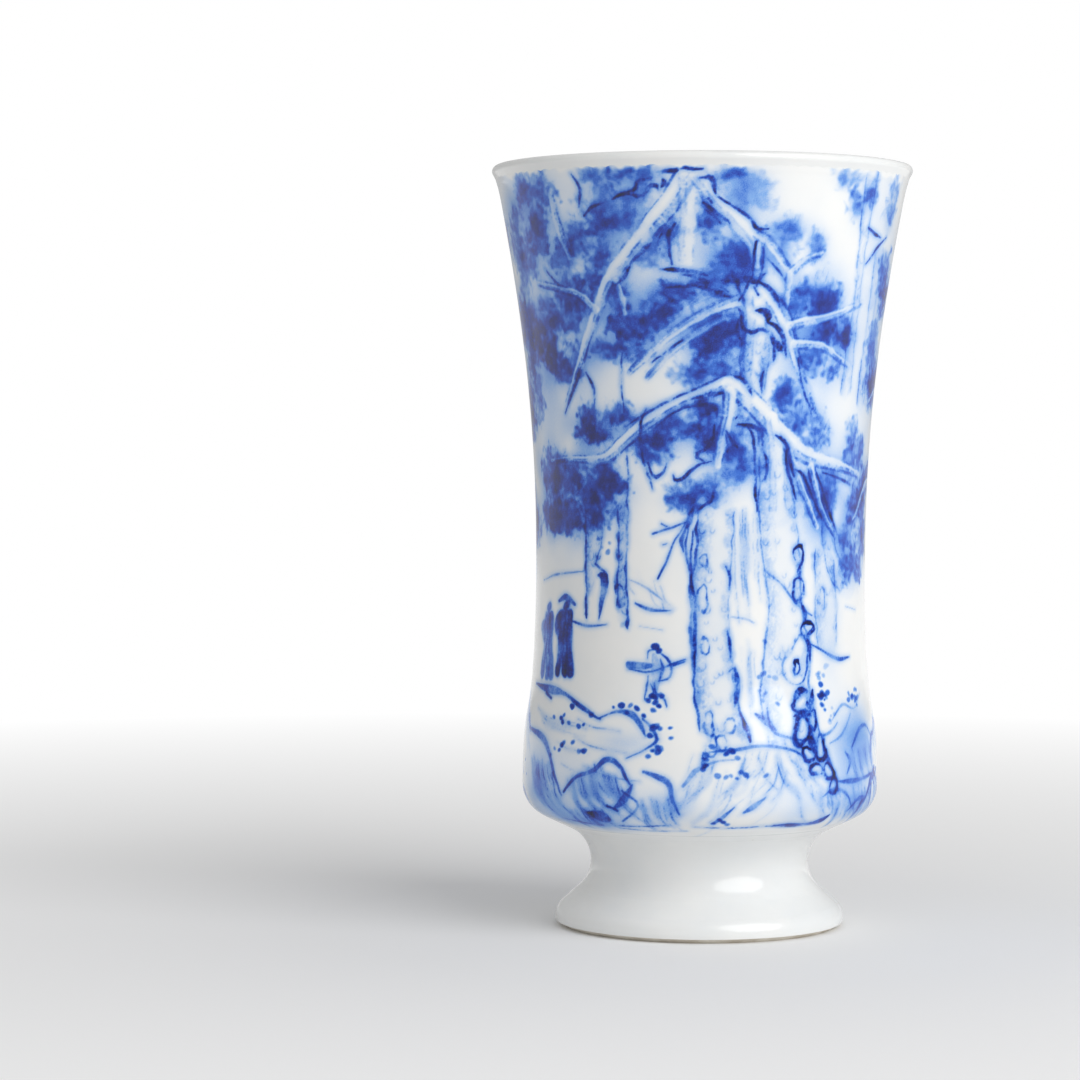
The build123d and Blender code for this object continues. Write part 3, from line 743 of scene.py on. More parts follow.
# The third walks alone, with a bundle held out in front
stroke([(-7.4, 44, 1.0), (-7, 41.6, 1.6), (-7.2, 39.2, 1.4)], 0.22, ends=0.8)
each(dot, ((-7.3, 45.4, 1.0, 1.0), (-6.6, 44.8, 0.7, 0.9)))
stroke([(-11.8, 42.6, 1.2), (-9.6, 42.5, 1.2), (-8, 42.5, 0.8)], 0.5, ends=0.9)
for points in (
    [(-8.6, 43.6, 0.25), (-8.4, 44.6, 0.3), (-7.6, 44.9, 0.3)],
    [(-6.4, 44.4, 0.3), (-5, 43.4, 0.4), (-4.5, 41.8, 0.4), (-5.2, 40.6, 0.35), (-6.6, 40.2, 0.3)],
    [(-6.4, 43.4, 0.5), (-6, 41.8, 0.6), (-6.6, 40.2, 0.5)],
    [(-11.8, 42, 0.3), (-8, 41.6, 0.3), (-4.4, 42.8, 0.3), (-2.2, 43.6, 0.3)],
    [(-4.2, 42.6, 0.7), (-2.4, 43.2, 0.4)],
    [(-8.4, 41, 0.3), (-8.6, 39.2, 0.4), (-8.8, 37.4, 0.3)],
    [(-7.4, 40, 0.4), (-7, 38.4, 0.4), (-5.6, 37.6, 0.35), (-5, 36.4, 0.3)],
    [(-8, 39.8, 0.35), (-7.4, 38.6, 0.35), (-8.2, 37.2, 0.3)],
):
    stroke(points, 0.8)
report("the walkers")

# %% [markdown]
# ## The banks and rocks
#
# Rocks are drawn with one heavy outline, then shaded with a nearly dry brush dragged along the
# slope, so that it leaves a comb of fine hairs. Moss is a scatter of pressed dots. The outlines
# are listed one by one. The hairs and dots are too many for that, so a line and a count say
# where they go, and seeded chance does the rest.

# %% Pale washes under the rocks
each(tint, (
    (-30, 23, 9, 7, 0.24),
    (-20, 17.6, 9, 3, 0.26),
    (-12, 31, 5, 2, 0.08),
    (-17, 23, 6, 4, 0.2),
    (-5, 21, 5, 3, 0.14),
    (16, 22, 6, 4, 0.12),
    (30, 22, 8, 5, 0.16),
))
report("the washes under the rocks")

# %% Hairs left by a nearly dry brush, and the left bank with its hollow
def comb(points, fall, count, amount, spread=0.5):
    """Fine dry-brush hairs that sweep down from a line; fall is their (u, v) run."""
    path = curve([(*place, 0.3) for place in points], count)
    for u, v, _ in path:
        start_u = u + random.normal(0, spread)
        start_v = v + random.normal(0, spread)
        run_u, run_v = random.uniform(0.4, 1.15) * np.array(fall)
        press = random.uniform(0.16, 0.4)
        stroke(
            [
                (start_u, start_v, press),
                (start_u + 0.36 * run_u, start_v + 0.62 * run_v, press),
                (start_u + run_u, start_v + run_v, 0.15),
            ],
            amount * random.uniform(0.2, 1.0),
            dry=0.7,
            bleed=0.25,
        )


each(stroke, (
    ([(-36, 38.4, 0.4), (-29, 38, 1.4), (-24.4, 37.4, 0.6), (-20, 35.6, 0.7), (-16.4, 34.2, 0.5)],
      0.95),
    ([(-30.6, 37.4, 1.6), (-28.6, 36.6, 1.0)], 1.0),
    ([(-16.6, 34.4, 0.5), (-13.4, 35.4, 0.5), (-10.8, 35, 1.0), (-9, 33, 0.6), (-8.4, 32, 0.4)],
      0.8),
    ([(-9, 34.4, 0.8), (-7.4, 33, 0.5), (-6.4, 31.4, 0.5), (-8, 30.2, 0.3), (-11.4, 28.6, 0.3)],
      0.8),
))
comb([(-31, 33.6), (-19, 32.2)], (9, -1.6), 12, 0.35, 2)

# %% The big rock on the left
each(stroke, (
    ([(-36, 31.6, 0.9), (-30, 30.6, 1.2), (-27.4, 28.4, 0.8), (-26, 25.4, 0.7), (-24, 22, 0.8)],
      0.75),
    ([(-23.4, 22.6, 1.0), (-20.8, 25, 0.6), (-17, 26.4, 0.7), (-14.6, 28.2, 0.9),
      (-12.4, 27.2, 0.7), (-10.6, 24.4, 0.5)], 0.95),
    ([(-10.4, 24.6, 0.5), (-11.6, 22.4, 1.2), (-13.6, 20.6, 0.9)], 0.85),
))
each(comb, (
    ([(-22, 24.4), (-16, 26.2), (-12, 25.2)], (3.2, -5.6), 34, 0.42),
    ([(-34, 27), (-27, 26)], (4, -7), 22, 0.5),
))
report("the left bank and its rock")

# %% Pale hairs between the trunks and on the water
each(comb, (
    ([(5.8, 66), (9.2, 65)], (0.8, -15), 12, 0.2, 1),
    ([(6.4, 46), (9.4, 45)], (0.3, -9), 7, 0.14, 1),
    ([(-13, 57), (-6, 54)], (2.2, -3.4), 8, 0.2, 1),
))

# %% The dark cleft under the rock
comb([(-23, 19.4), (-13, 20.6)], (1.6, -3.4), 22, 0.5)
each(stroke, (
    ([(-18.6, 19.6, 1.5), (-16.2, 19, 2.2), (-14.8, 18.6, 1.2)], 1.25),
    ([(-14.6, 21, 1.0), (-13, 20.4, 1.2)], 1.2),
    ([(-12, 23.6, 0.7), (-9.4, 21.4, 0.4), (-12.6, 18.4, 0.8)], 0.6),
    ([(-8.6, 26.6, 1.2), (-6.2, 25.8, 0.8), (-4.6, 24.8, 0.9), (-4, 22.4, 0.6), (-3, 20.2, 0.6)],
      0.75),
))
comb([(-9, 22), (-4, 22)], (1.4, -5), 16, 0.4)
report("the shade behind and the cleft")

# %% The roots of the two big trunks
each(stroke, (
    ([(-2.4, 24.6, 1.4), (-0.6, 26.8, 0.8), (2, 28.2, 0.4), (5.4, 28.6, 0.3)], 0.4),
    ([(1.4, 29.8, 0.3), (5, 30, 0.5), (10, 30.6, 0.5), (15, 29.8, 0.4), (18, 27.8, 0.5)], 0.6),
    ([(10.8, 36.2, 0.6), (11.4, 33, 0.5), (14.4, 31.8, 0.4), (17, 31.2, 0.5)], 0.6),
    ([(8.8, 35.4, 0.8), (10.6, 34.2, 1.2), (12.2, 33, 0.6)], 0.55),
))
each(comb, (
    ([(-1, 26), (6, 27.8), (12, 29)], (-4.4, -7.4), 30, 0.22, 2),
    ([(12, 29.4), (17, 27.6)], (4.6, -7), 16, 0.3, 2),
))
each(stroke, (
    ([(6.8, 20.6, 1.0), (8.4, 21.6, 0.9), (10.2, 23, 0.3)], 0.55),
    ([(2, 18.6, 1.0), (3.4, 19.6, 0.7), (5.4, 21.4, 0.4)], 0.6),
    ([(12.4, 17.9, 0.5), (15, 17.8, 0.9), (19, 17.6, 0.8), (21.6, 18.2, 1.3), (23, 19.2, 0.6)],
      1.0),
))
report("the roots")

# %% The right bank
each(stroke, (
    ([(21, 31.6, 0.9), (22.6, 32, 0.5), (24.6, 33.4, 0.3)], 0.45),
    ([(23.6, 24.6, 0.4), (27, 24.4, 0.8), (31, 24.4, 0.6), (36, 24.8, 1.4)], 0.6),
    ([(26, 29, 0.4), (27.4, 27.4, 0.8), (26.4, 25.6, 0.5)], 0.4),
    ([(28, 29.4, 0.3), (30.6, 32, 0.7), (33.6, 32.6, 0.5), (36, 30.8, 0.3)], 0.55),
    ([(22.4, 30.4, 0.3), (25.4, 31.6, 0.4), (28.6, 34.6, 0.3)], 0.4),
))
each(comb, (
    ([(24, 21), (36, 22.6)], (1, -5), 22, 0.4),
    ([(18, 24), (25, 22), (31, 23)], (2.4, -5), 26, 0.26),
))
each(stroke, (
    ([(20.4, 22.4, 0.3), (23, 23.4, 0.6), (26, 22.6, 0.5), (28.4, 20, 0.3)], 0.5),
    ([(27.4, 19.6, 0.3), (30, 21.4, 0.7), (33.6, 20.8, 0.5), (36, 18.4, 0.4)], 0.6),
    ([(23.4, 33.8, 0.3), (26.4, 36, 0.5), (30, 35.4, 0.3), (33, 37.4, 0.3)], 0.35),
))
comb([(27, 28.6), (35, 30)], (2.6, -5), 16, 0.34)
tint(29, 30, 7, 6, 0.26)
report("the right bank")

# %% The ground line, and moss in pressed dots
def moss(u, v, spread_u, spread_v, count, amount):
    """A scatter of pressed dots."""
    for _ in range(count):
        at_u = u + random.normal() * spread_u
        at_v = v + random.normal() * spread_v
        dot(at_u, at_v, random.uniform(0.4, 0.9), amount * random.uniform(0.5, 1.1))


for points in (
    [(-26, 17.9, 0.3), (-19, 17.1, 0.5), (-12, 17.3, 0.4), (-5, 17.9, 0.3)],
    [(-1, 17.8, 0.3), (5, 17.4, 0.4), (11, 17.7, 0.4), (17, 17.2, 0.3)],
    [(-14, 16.4, 0.2), (-8, 16, 0.3), (-2, 16.4, 0.2)],
):
    stroke(points, 0.6, dry=0.6)
each(moss, (
    (-24, 34, 2.2, 0.8, 9, 0.95), (-23, 29, 2.2, 0.9, 10, 0.8), (-11, 36, 1.8, 0.7, 9, 0.85),
    (-7, 37.4, 1.1, 1.4, 8, 0.85), (-6.6, 29.8, 0.9, 0.8, 5, 0.9), (-7.2, 33.6, 1.2, 0.7, 5, 0.9),
    (-4.6, 32, 0.6, 1.2, 3, 0.8), (3.4, 29.2, 2.4, 0.5, 10, 0.6), (5.8, 26, 1.8, 0.7, 7, 0.6),
    (0.4, 28, 0.4, 0.8, 2, 1.0), (21.8, 37.8, 0.6, 0.9, 14, 0.7), (21.6, 41, 0.6, 0.9, 5, 0.25),
    (30, 36.8, 1.3, 0.8, 12, 0.5), (24, 34, 1.6, 0.8, 5, 0.25), (3, 19, 1.4, 0.5, 5, 0.8),
    (10.8, 40, 0.8, 3.0, 10, 0.35), (-16.6, 61.4, 0.6, 2.6, 8, 0.4),
))
report("the ground line and the moss")

# %% [markdown]
# ## Round the back
#
# The painting runs on round the cup. Nobody looks as hard at the back as at the front, so there
# it is built from the same few gestures, with a seeded generator choosing where each falls:
# bare hills seen through mist across the water, a few birds, whole pines at the two sides, and
# a bank of rocks all the way along the bottom.

# %% Bare hills in the mist
RIDGE_STEPS = 40
MIST_LAYERS = 6
MIST_DEPTH = 9.0


def hill(points, amount):
    """A bare hill: a broken outline on top of a wash that thins out down into the mist."""
    path = curve([(*place, 1.0) for place in points], RIDGE_STEPS)
    for share in np.linspace(0, 1, MIST_LAYERS):
        path_down = path - (0, MIST_DEPTH * share, 0)
        path_down[:, 2] = 3.2
        stroke(path_down, 0.16 * amount * (1 - share), soft=1.5, dry=0.5, wobble=0.6, ends=0.8)
    path[:, 2] = 0.3 + 0.35 * np.abs(np.sin(np.arange(RIDGE_STEPS) * 0.5))
    stroke(path, amount * 0.7, dry=0.9, wobble=0.3)
    for place in path[4:-4:3]:
        fall = random.uniform(2, 0.7 * MIST_DEPTH)
        aside = random.uniform(-1.4, 1.4)
        stroke(
            [
                (place[0], place[1] - 0.6, 0.6),
                (place[0] + aside, place[1] - fall / 2, 0.5),
                (place[0] + 0.4 * aside, place[1] - fall, 0.3),
            ],
            0.3 * amount, dry=1.0, soft=0.4,
        )


each(hill, (
    ([(50, 78), (58, 88), (64, 95), (70, 90), (77, 80), (84, 76)], 0.42),
    ([(74, 72), (82, 82), (89, 92), (95, 101), (101, 93), (108, 80), (116, 72)], 0.5),
    ([(60, 66), (70, 72), (79, 69), (88, 74), (98, 70), (106, 64)], 0.6),
))
each(tint, (
    (52, 104, 10, 12, 0.22), (124, 104, 12, 12, 0.24), (88, 62, 26, 3, 0.16),
    (60, 54, 16, 3, 0.12), (112, 50, 18, 3, 0.14),
))
report("the hills behind")

# %% Water, and four birds
for number in range(16):
    at_u, at_v = random.uniform(58, 118), 58 - 1.25 * number
    long = random.uniform(4, 12)
    stroke([(at_u, at_v, 0.2), (at_u + long / 2, at_v - 0.3, 0.4), (at_u + long, at_v, 0.15)],
           random.uniform(0.2, 0.5))
for at_u, at_v, size in ((72, 104, 1.5), (76, 107, 1.2), (80, 103.5, 1.3), (84, 108.5, 1.0)):
    for side in (-1, 1):
        stroke([(at_u, at_v, 0.4), (at_u + 0.6 * side * size, at_v + 0.5 * size, 0.3),
                (at_u + 1.3 * side * size, at_v + 0.3 * size, 0.15)], 0.8)
report("the water and the birds")

# %% Whole pines at the two sides
STATIONS = 6


def pine(u, foot, top, lean, width, amount, reach=12.0):
    """A whole pine: foliage first, then the limbs lifted out of it in white, then the trunk."""
    limbs = []
    for number, share in enumerate(np.linspace(0.42, 0.97, 7)):
        side = -1 if number % 2 else 1
        root_u, root_v = u + lean * share, foot + (top - foot) * share
        long = reach * random.uniform(0.75, 1.2) * (1.25 - 0.6 * share)
        droop = random.uniform(1, 6)
        for along in (0.35, 0.6, 0.8, 1.0):
            clump(
                root_u + side * long * along,
                root_v - droop * along**2 + random.uniform(0.8, 3.0),
                random.uniform(2.4, 4.4), random.uniform(1.5, 2.8),
                amount * random.uniform(0.6, 1.05),
            )
        limbs.append((side, [
            (root_u, root_v - 1.4, 1.7),
            (root_u + 0.5 * side * long, root_v + random.uniform(-0.6, 1.4), 1.2),
            (root_u + side * long, root_v - droop, 0.5),
        ]))
    clump(u + lean, top + 1, 3.4, 2.4, amount)
    for side, points in limbs:
        limb(points, 0.85 * amount, side)
    stations = np.linspace(1, 0, STATIONS)
    sway = 0.8 * np.sin(5 * stations + u)
    middle = u + lean * stations + sway
    half = width * (0.5 - 0.28 * stations)
    height = foot + (top - foot) * stations
    keep_white(np.column_stack([middle, height, 2 * half]), 0.9)
    left = np.column_stack([middle - half, height, np.full(STATIONS, 0.7)])
    right = np.column_stack([middle + half, height, np.full(STATIONS, 0.6)])
    bark(left, right, 0.7 * amount, int(2 * width + 6))
    for share in random.uniform(0.05, 0.7, 4):
        side = random.choice((-0.6, 0.6))
        at = np.interp(share, stations[::-1], middle[::-1])
        knot(at + side * half[2], foot + (top - foot) * share, 0.7, 1.3, 0.6 * amount)


each(pine, (
    (44, 30, 108, 2.5, 4.6, 0.72), (55, 33, 84, -3, 3.2, 0.62, 8.0),
    (118, 32, 100, 4, 4.2, 0.8), (129, 31, 112, -3, 4.8, 0.9),
    (107, 36, 72, 2, 2.6, 0.55, 7.0), (92, 38, 60, -1, 2.0, 0.45, 5.0),
))
report("the pines behind")

# %% A bank of rocks all the way along
CREST = (
    (-0.5, 0.0, 0.3), (-0.4, 0.5, 0.8), (-0.24, 0.62, 0.5), (-0.02, 1.0, 0.9), (0.2, 0.86, 0.5),
    (0.34, 0.4, 0.8), (0.52, 0.1, 0.3),
)


def rock(u, v, width, height, amount):
    """A rock: a crooked outline over the top, a facet inside it, and hairs down its flank."""
    places = [
        (u + (across + random.normal(0, 0.035)) * width, v + up * height * random.uniform(0.7, 1.2))
        for across, up, _ in CREST
    ]
    keep_white([(u, v, 0.8 * width), (u, v + 0.4 * height, 0.6 * width)], 0.8)
    stroke([(*place, weight) for place, (_, _, weight) in zip(places, CREST)], amount)
    ridge_u, ridge_v = places[3]
    stroke([(ridge_u, ridge_v, 0.3), (ridge_u - 0.06 * width, v + 0.5 * height, 0.6),
            (ridge_u + 0.05 * width, v + 0.1 * height, 0.3)], 0.6 * amount)
    comb(places[2:6], (0.16 * width, -0.9 * height), int(2.2 * width), 0.36 * amount)
    comb(places[0:3], (0.1 * width, -0.6 * height), int(0.9 * width), 0.3 * amount)


for at_u in np.arange(40, 138, 7.2):
    far = random.uniform(24, 32)
    rock(at_u + random.uniform(-2, 2), far, random.uniform(8, 13), random.uniform(3, 6), 0.65)
for at_u in np.arange(38, 138, 9.5):
    near = random.uniform(18, 22)
    rock(at_u + random.uniform(-2, 2), near, random.uniform(9, 14), random.uniform(3, 6), 0.85)
    moss(at_u, near + 6, 2.4, 1.0, 9, 0.8)
    tint(at_u, 18, 5, 2.4, 0.18)
report("the whole painting")

# %% [markdown]
# ## Firing
#
# In the kiln the glaze melts over the painting and the cobalt creeps a little way into it, so
# no edge stays sharper than a tenth of a millimetre or so, and a faint blue breath stays round
# the heaviest marks. Each mark could be drawn soft, but then marks that cross would soften
# unequally. One blur over the finished sheet treats all of them alike, as the kiln does. The
# brush also stops short of the lip, where the glaze runs thin.

# %% Soften the painting as the kiln does
CREEP = 0.05
BREATH = 0.9
BREATH_SHARE = 0.07
TOP_FEATHER = 1.1
REACH = sqrt(2) * pi

crept = blurred(cobalt, REACH * CREEP)
breathed = blurred(cobalt, REACH * BREATH)
cobalt = (1 - BREATH_SHARE) * crept + BREATH_SHARE * breathed
to_lip = PAINT_HIGH - (PAINT_LOW + CELL * np.arange(ROWS)[:, None])
cobalt *= ramp(0.1, TOP_FEATHER, to_lip + 0.35 * BLOT + 0.06 * SPECKLE)
cobalt = np.clip(cobalt, 0, None)
report("after firing")

# %% [markdown]
# ## Wrapping the painting on the wall
#
# On the real cup the paint has no thickness: it lies between the clay and the glaze. Here each
# vertex of a fine skin carries the cobalt of one cell, so the skin needs about one vertex for
# every sixth of a millimetre. A picture wrapped round the wall would need fewer, but this
# way the cobalt stays a quantity, which the finish turns into colour. The skin is laid in
# upright panels that share their edges, so that no mesh grows too big to handle. A panel
# starts as a flat grid, is bent round the axis, and lies a hair above the CAD model's glaze. At
# the lip and under the belly it dips a hair below the glaze, so that no edge shows.

# %% Where the skin lies
SKIN = 0.07
TUCK = 1.2
RING_GAP = 1.1
FINE_STEPS = 2000


def wall_places(v):
    """Radius and height of the skin at each v: along the wall, then on under the belly."""
    spaced = [outline[0]]
    for ring in outline[1:]:
        if np.hypot(*(ring - spaced[-1])) > RING_GAP:
            spaced.append(ring)
    smooth = curve(spaced, FINE_STEPS)
    along = np.append(0, np.cumsum(np.hypot(*np.diff(smooth, axis=0).T)))
    belly = np.searchsorted(smooth[:, 1], belly_height)
    under = belly_height + along - along[belly]
    skin_v = np.where(smooth[:, 1] < belly_height, under, smooth[:, 1])
    slope = np.gradient(smooth, axis=0)
    slope /= np.hypot(*slope.T)[:, None]
    radius, height, outward, upward = (
        np.interp(v, skin_v, column) for column in (*smooth.T, *slope.T)
    )
    lift = SKIN * (2 * ramp(0, TUCK, np.minimum(v - v[0], v[-1] - v)) - 1)
    return radius + lift * upward, height - lift * outward


radius, height = wall_places(PAINT_LOW + np.arange(ROWS) * CELL)
print("the skin runs from", round(height[0], 2), "to", round(height[-1], 2), "mm up the cup")

# %% Bend flat grids round the wall
def flat_grid():
    """A unit grid with a UV map, one vertex for each cell of a panel."""
    bm = bmesh.new()
    bm.loops.layers.uv.new("OFBake")
    bmesh.ops.create_grid(
        bm, x_segments=PANEL_COLUMNS, y_segments=ROWS - 1, size=0.5, calc_uvs=True
    )
    mesh = bpy.data.meshes.new("flat_grid")
    bm.to_mesh(mesh)
    bm.free()
    mesh.shade_smooth()
    return mesh


def painted_panel(number, grid):
    """One upright panel of the painting, as an object."""
    mesh = grid.copy()
    flat = np.empty(len(mesh.vertices) * 3)
    mesh.vertices.foreach_get("co", flat)
    across, up = flat.reshape(-1, 3)[:, :2].T + 0.5
    column = np.rint(across * PANEL_COLUMNS).astype(int) + number * PANEL_COLUMNS
    row = np.rint(up * (ROWS - 1)).astype(int)
    angle = 2 * pi * column / COLUMNS
    round_x, round_y = radius[row] * np.sin(angle), -radius[row] * np.cos(angle)
    places = np.stack([round_x, round_y, height[row]], axis=1) * MM
    mesh.vertices.foreach_set("co", places.astype(np.float32).ravel())
    laid = mesh.attributes.new("cobalt", "FLOAT", "POINT")
    laid.data.foreach_set("value", cobalt[row, column % COLUMNS].astype(np.float32))
    mesh.update()
    panel = bpy.data.objects.new(f"painting_{number + 1}", mesh)
    bpy.context.scene.collection.objects.link(panel)
    return panel


grid = flat_grid()
panels = [painted_panel(number, grid) for number in range(PANELS)]
print("panels:", len(panels), "of", 2 * len(grid.polygons), "triangles each")

# %% [markdown]
# ## Porcelain, cobalt and glaze
#
# Porcelain is a fine white clay that lets a little light in, under glaze as clear as window
# glass. The glaze is never quite flat: it keeps a faint orange-peel ripple, and it holds a few
# specks of iron. Cobalt under glaze runs from the palest sky blue to a navy that is nearly
# black. The clay, the paint and the coat could be three layers that light passes
# through in turn, which is slow and noisy; one surface with a colour, a thin sheen and a
# little scattering looks the same from outside.

# %% A short way to write a material
def linear(*values):
    """An sRGB colour, 0 to 255, as the linear colour a shader takes."""
    shares = (value / 255 for value in values)
    return (*(s / 12.92 if s < 0.04045 else ((s + 0.055) / 1.055) ** 2.4 for s in shares), 1)


class Recipe:
    """A material under construction: its nodes, and short ways to add and join them."""

    def __init__(self, name):
        self.material = bpy.data.materials.new(name)
        self.material.use_nodes = True
        self.tree = self.material.node_tree
        self.shader = self.tree.nodes["Principled BSDF"]

    def add(self, kind, inputs=(), **settings):
        """A node with its settings; an input is a number, a colour or another node's socket."""
        node = self.tree.nodes.new("ShaderNode" + kind)
        for name, value in settings.items():
            setattr(node, name, value)
        for name, value in dict(inputs).items():
            self.give(node.inputs[name], value)
        return node

    def give(self, socket, value):
        """Links a socket to another node's, or sets it to a number or a colour."""
        if isinstance(value, bpy.types.NodeSocket):
            self.tree.links.new(value, socket)
        else:
            socket.default_value = value

    def set(self, name, value):
        """Gives one of the shader's own inputs its value."""
        self.give(self.shader.inputs[name], value)

    def place(self):
        """The place on the object, in metres."""
        return self.add("TexCoord").outputs["Object"]

    def noise(self, size, detail=3.0, roughness=0.55):
        """Noise with features of about this size in millimetres, from 0 to 1."""
        return self.add(
            "TexNoise",
            {"Vector": self.place(), "Scale": 1 / (size * MM), "Detail": detail,
             "Roughness": roughness},
        ).outputs["Fac"]

    def scaled(self, value, low, high, to_low, to_high):
        """A value carried from one range to another, and held there."""
        return self.add(
            "MapRange",
            {"Value": value, "From Min": low, "From Max": high, "To Min": to_low,
             "To Max": to_high},
        ).outputs["Result"]

    def colours(self, value, *stops):
        """A colour ramp through (position, colour) stops."""
        node = self.add("ValToRGB", {"Fac": value})
        elements = node.color_ramp.elements
        while len(elements) < len(stops):
            elements.new(1)
        for element, (position, colour) in zip(elements, stops):
            element.position = position
            element.color = colour
        return node.outputs["Color"]

    def combine(self, operation, first, second):
        """Two values through one arithmetic step."""
        return self.add("Math", {0: first, 1: second}, operation=operation).outputs["Value"]

    def mixed(self, share, first, second, blend="MIX"):
        """Two colours, mixed."""
        node = self.add("Mix", {"Factor": share}, data_type="RGBA", blend_type=blend)
        for name, value in (("A", first), ("B", second)):
            self.give(next(s for s in node.inputs if s.name == name and s.type == "RGBA"), value)
        return next(s for s in node.outputs if s.type == "RGBA")

    def bump(self, height, depth):
        """A bump of this depth in millimetres."""
        node = self.add("Bump", {"Height": height, "Distance": depth * MM})
        self.set("Normal", node.outputs["Normal"])


print("a mid grey of 128 is", round(linear(128)[0], 3), "to a shader")

# %% The finishes
PEEL = 0.010


def white_clay(recipe, cool=0.0):
    """The white of the clay, with faint cloudiness; cool is how much it leans to blue."""
    cloud = recipe.scaled(recipe.noise(14, 4), 0.35, 0.7, 0, 1)
    warm = linear(240 - 8 * cool, 240 - 2 * cool, 238)
    return recipe.mixed(cloud, warm, linear(233 - 10 * cool, 235 - 3 * cool, 235))


def glaze_over(recipe, colour):
    """The clear coat that every glazed surface shares, over a colour. Lengths are in mm."""
    recipe.set("Base Color", colour)
    recipe.set("Roughness", recipe.scaled(recipe.noise(6, 2), 0.3, 0.7, 0.09, 0.17))
    recipe.set("IOR", 1.52)
    recipe.set("Subsurface Weight", 0.06)
    recipe.set("Subsurface Radius", (1.2 * MM, 1.0 * MM, 0.9 * MM))
    recipe.set("Subsurface Scale", 1.0)
    recipe.bump(recipe.noise(2.6, 1), PEEL)


def bare_glaze(name, cool=0.0):
    """White clay under glaze, with a few specks of iron."""
    recipe = Recipe(name)
    speck = recipe.scaled(recipe.noise(1.3, 1), 0.80, 0.83, 0, 0.5)
    glaze_over(recipe, recipe.mixed(speck, white_clay(recipe, cool), linear(120, 96, 70)))
    return recipe.material


def painted_glaze():
    """Cobalt on the clay, with the same glaze over it."""
    recipe = Recipe("cobalt_under_glaze")
    laid = recipe.add("Attribute", attribute_name="cobalt").outputs["Fac"]
    grain = recipe.scaled(recipe.noise(0.16, 2, 0.7), 0.3, 0.7, 0.8, 1.2)
    depth = recipe.combine("MULTIPLY", recipe.combine("MULTIPLY", laid, grain), 0.6)
    cobalt_blue = recipe.colours(
        depth,
        (0.0, linear(255, 255, 255)),
        (0.07, linear(206, 225, 252)),
        (0.17, linear(134, 182, 246)),
        (0.31, linear(50, 118, 226)),
        (0.47, linear(8, 64, 188)),
        (0.66, linear(0, 27, 126)),
        (0.9, linear(0, 9, 62)),
    )
    glaze_over(recipe, recipe.mixed(1.0, white_clay(recipe), cobalt_blue, "MULTIPLY"))
    return recipe.material


def biscuit():
    """Bare fired clay: matt, slightly sandy, stained where it has rubbed on tables."""
    recipe = Recipe("biscuit")
    stain = recipe.scaled(recipe.noise(4, 5), 0.4, 0.7, 0, 1)
    recipe.set("Base Color", recipe.mixed(stain, linear(226, 220, 208), linear(196, 186, 170)))
    recipe.set("Roughness", recipe.scaled(recipe.noise(0.5, 3), 0.3, 0.7, 0.62, 0.85))
    recipe.bump(recipe.noise(0.3, 4), 0.03)
    return recipe.material


# %% Each piece gets its finish
def finish(thing, material):
    """Gives a piece or a CAD node its material."""
    thing.data.materials.clear()
    thing.data.materials.append(material)


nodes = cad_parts
finish(nodes["outer_glaze"], bare_glaze("outer_glaze"))
finish(nodes["inner_glaze"], bare_glaze("inner_glaze"))
finish(nodes["base_glaze"], bare_glaze("base_glaze", cool=1.0))
clay = biscuit()
finish(nodes["cup_bowl"], clay)
finish(nodes["pedestal_foot"], clay)
finish(nodes["slip_joint"], clay)
paint = painted_glaze()
for panel in panels:
    finish(panel, paint)
    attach(panel, "root")
print("finishes:", sorted({m.name for m in bpy.data.materials}))

# %% [markdown]
# ## Setting the cup down
#
# The cup stands on pale paper. Near the cup the paper is real: it takes light and keeps the
# cup's shadow. Farther out it fades into plain white, so the picture has no horizon. A sheet
# curved up behind the cup would hide the horizon too, but it would need light of its own, which
# would fall on the cup as well. One broad lamp on the right models the wall, and the sky is even
# and weaker.

# %% The paper under the cup
FLOOR_RADIUS = 1.5
FADE_FROM = 0.06
FADE_TO = 0.40


def seen_directly(recipe):
    """1 for rays from the camera or by way of a mirror or glass, and 0 for light's own ways."""
    path = recipe.add("LightPath").outputs
    straight = recipe.combine("MAXIMUM", path["Is Camera Ray"], path["Is Glossy Ray"])
    return recipe.combine("MAXIMUM", straight, path["Is Transmission Ray"])


def paper():
    """Pale paper that fades to white with the distance from the cup."""
    recipe = Recipe("pale_paper")
    recipe.set("Base Color", linear(243, 243, 243))
    recipe.set("Roughness", 0.9)
    recipe.set("Specular IOR Level", 0.1)
    distance = recipe.add("VectorMath", {0: recipe.place()}, operation="LENGTH").outputs["Value"]
    fade = recipe.scaled(distance, FADE_FROM, FADE_TO, 0, 1)
    white = recipe.add("Emission", {"Color": (1, 1, 1, 1), "Strength": 1.0})
    mix = recipe.add("MixShader", {
        0: recipe.combine("MULTIPLY", fade, seen_directly(recipe)),
        1: recipe.shader.outputs["BSDF"],
        2: white.outputs["Emission"],
    })
    out = recipe.tree.nodes["Material Output"]
    recipe.tree.links.new(mix.outputs["Shader"], out.inputs["Surface"])
    return recipe.material


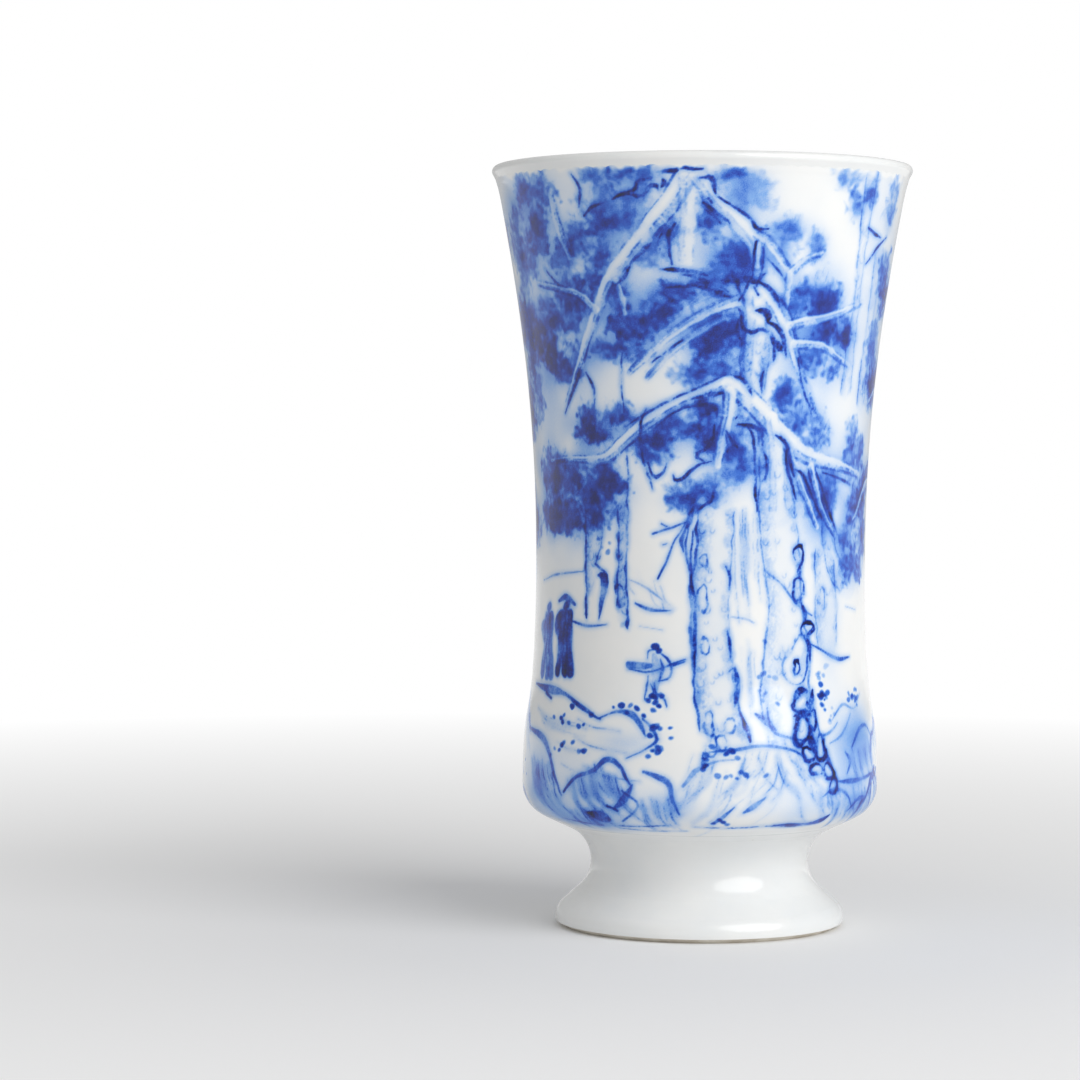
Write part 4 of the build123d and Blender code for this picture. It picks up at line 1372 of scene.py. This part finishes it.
bm = bmesh.new()
bmesh.ops.create_circle(bm, cap_ends=True, segments=96, radius=FLOOR_RADIUS)
mesh = bpy.data.meshes.new("floor")
bm.to_mesh(mesh)
bm.free()
mesh.materials.append(paper())
floor = bpy.data.objects.new("floor", mesh)
bpy.context.scene.collection.objects.link(floor)
print("the floor is", 2 * FLOOR_RADIUS, "metres across")

# %% Lamp, sky and camera
CUP_MIDDLE = 0.06


def lamp(name, place, size, power):
    """A round softbox, aimed at the middle of the cup."""
    light = bpy.data.lights.new(name, "AREA")
    light.shape = "DISK"
    light.size = size
    light.energy = power
    box = bpy.data.objects.new(name, light)
    box.location = place
    aim = Vector((0, 0, CUP_MIDDLE)) - Vector(place)
    box.rotation_euler = aim.to_track_quat("-Z", "Y").to_euler()
    bpy.context.scene.collection.objects.link(box)


def camera(place, left, down, roll, view):
    """A camera at a place, turned left and tilted down and rolled by some degrees."""
    data = bpy.data.cameras.new("camera")
    data.angle = radians(view)
    eye = bpy.data.objects.new("camera", data)
    eye.matrix_world = (
        Matrix.Translation(place)
        @ Matrix.Rotation(radians(left), 4, "Z")
        @ Matrix.Rotation(radians(90 - down), 4, "X")
        @ Matrix.Rotation(radians(roll), 4, "Z")
    )
    bpy.context.scene.collection.objects.link(eye)
    bpy.context.scene.camera = eye


def sky(strength):
    """Even light from all round, and plain white where the camera looks past the floor."""
    world = bpy.data.worlds.new("sky")
    bpy.context.scene.world = world
    world.use_nodes = True
    tree = world.node_tree
    background = tree.nodes["Background"]
    background.inputs["Color"].default_value = (1, 1, 1, 1)
    path = tree.nodes.new("ShaderNodeLightPath")
    level = tree.nodes.new("ShaderNodeMapRange")
    level.inputs["To Min"].default_value = strength
    level.inputs["To Max"].default_value = 1.0
    tree.links.new(path.outputs["Is Camera Ray"], level.inputs["Value"])
    tree.links.new(level.outputs["Result"], background.inputs["Strength"])


lamp("key", place=(0.62, -0.60, 0.50), size=0.9, power=6.2)
sky(strength=0.52)
camera(place=(0, -0.5347, 0.0781), left=2.713, down=1.874, roll=0.15, view=18.125)
bpy.context.scene.view_settings.view_transform = "Standard"
print("the camera stands at", [round(c, 3) for c in bpy.context.scene.camera.location], "metres")
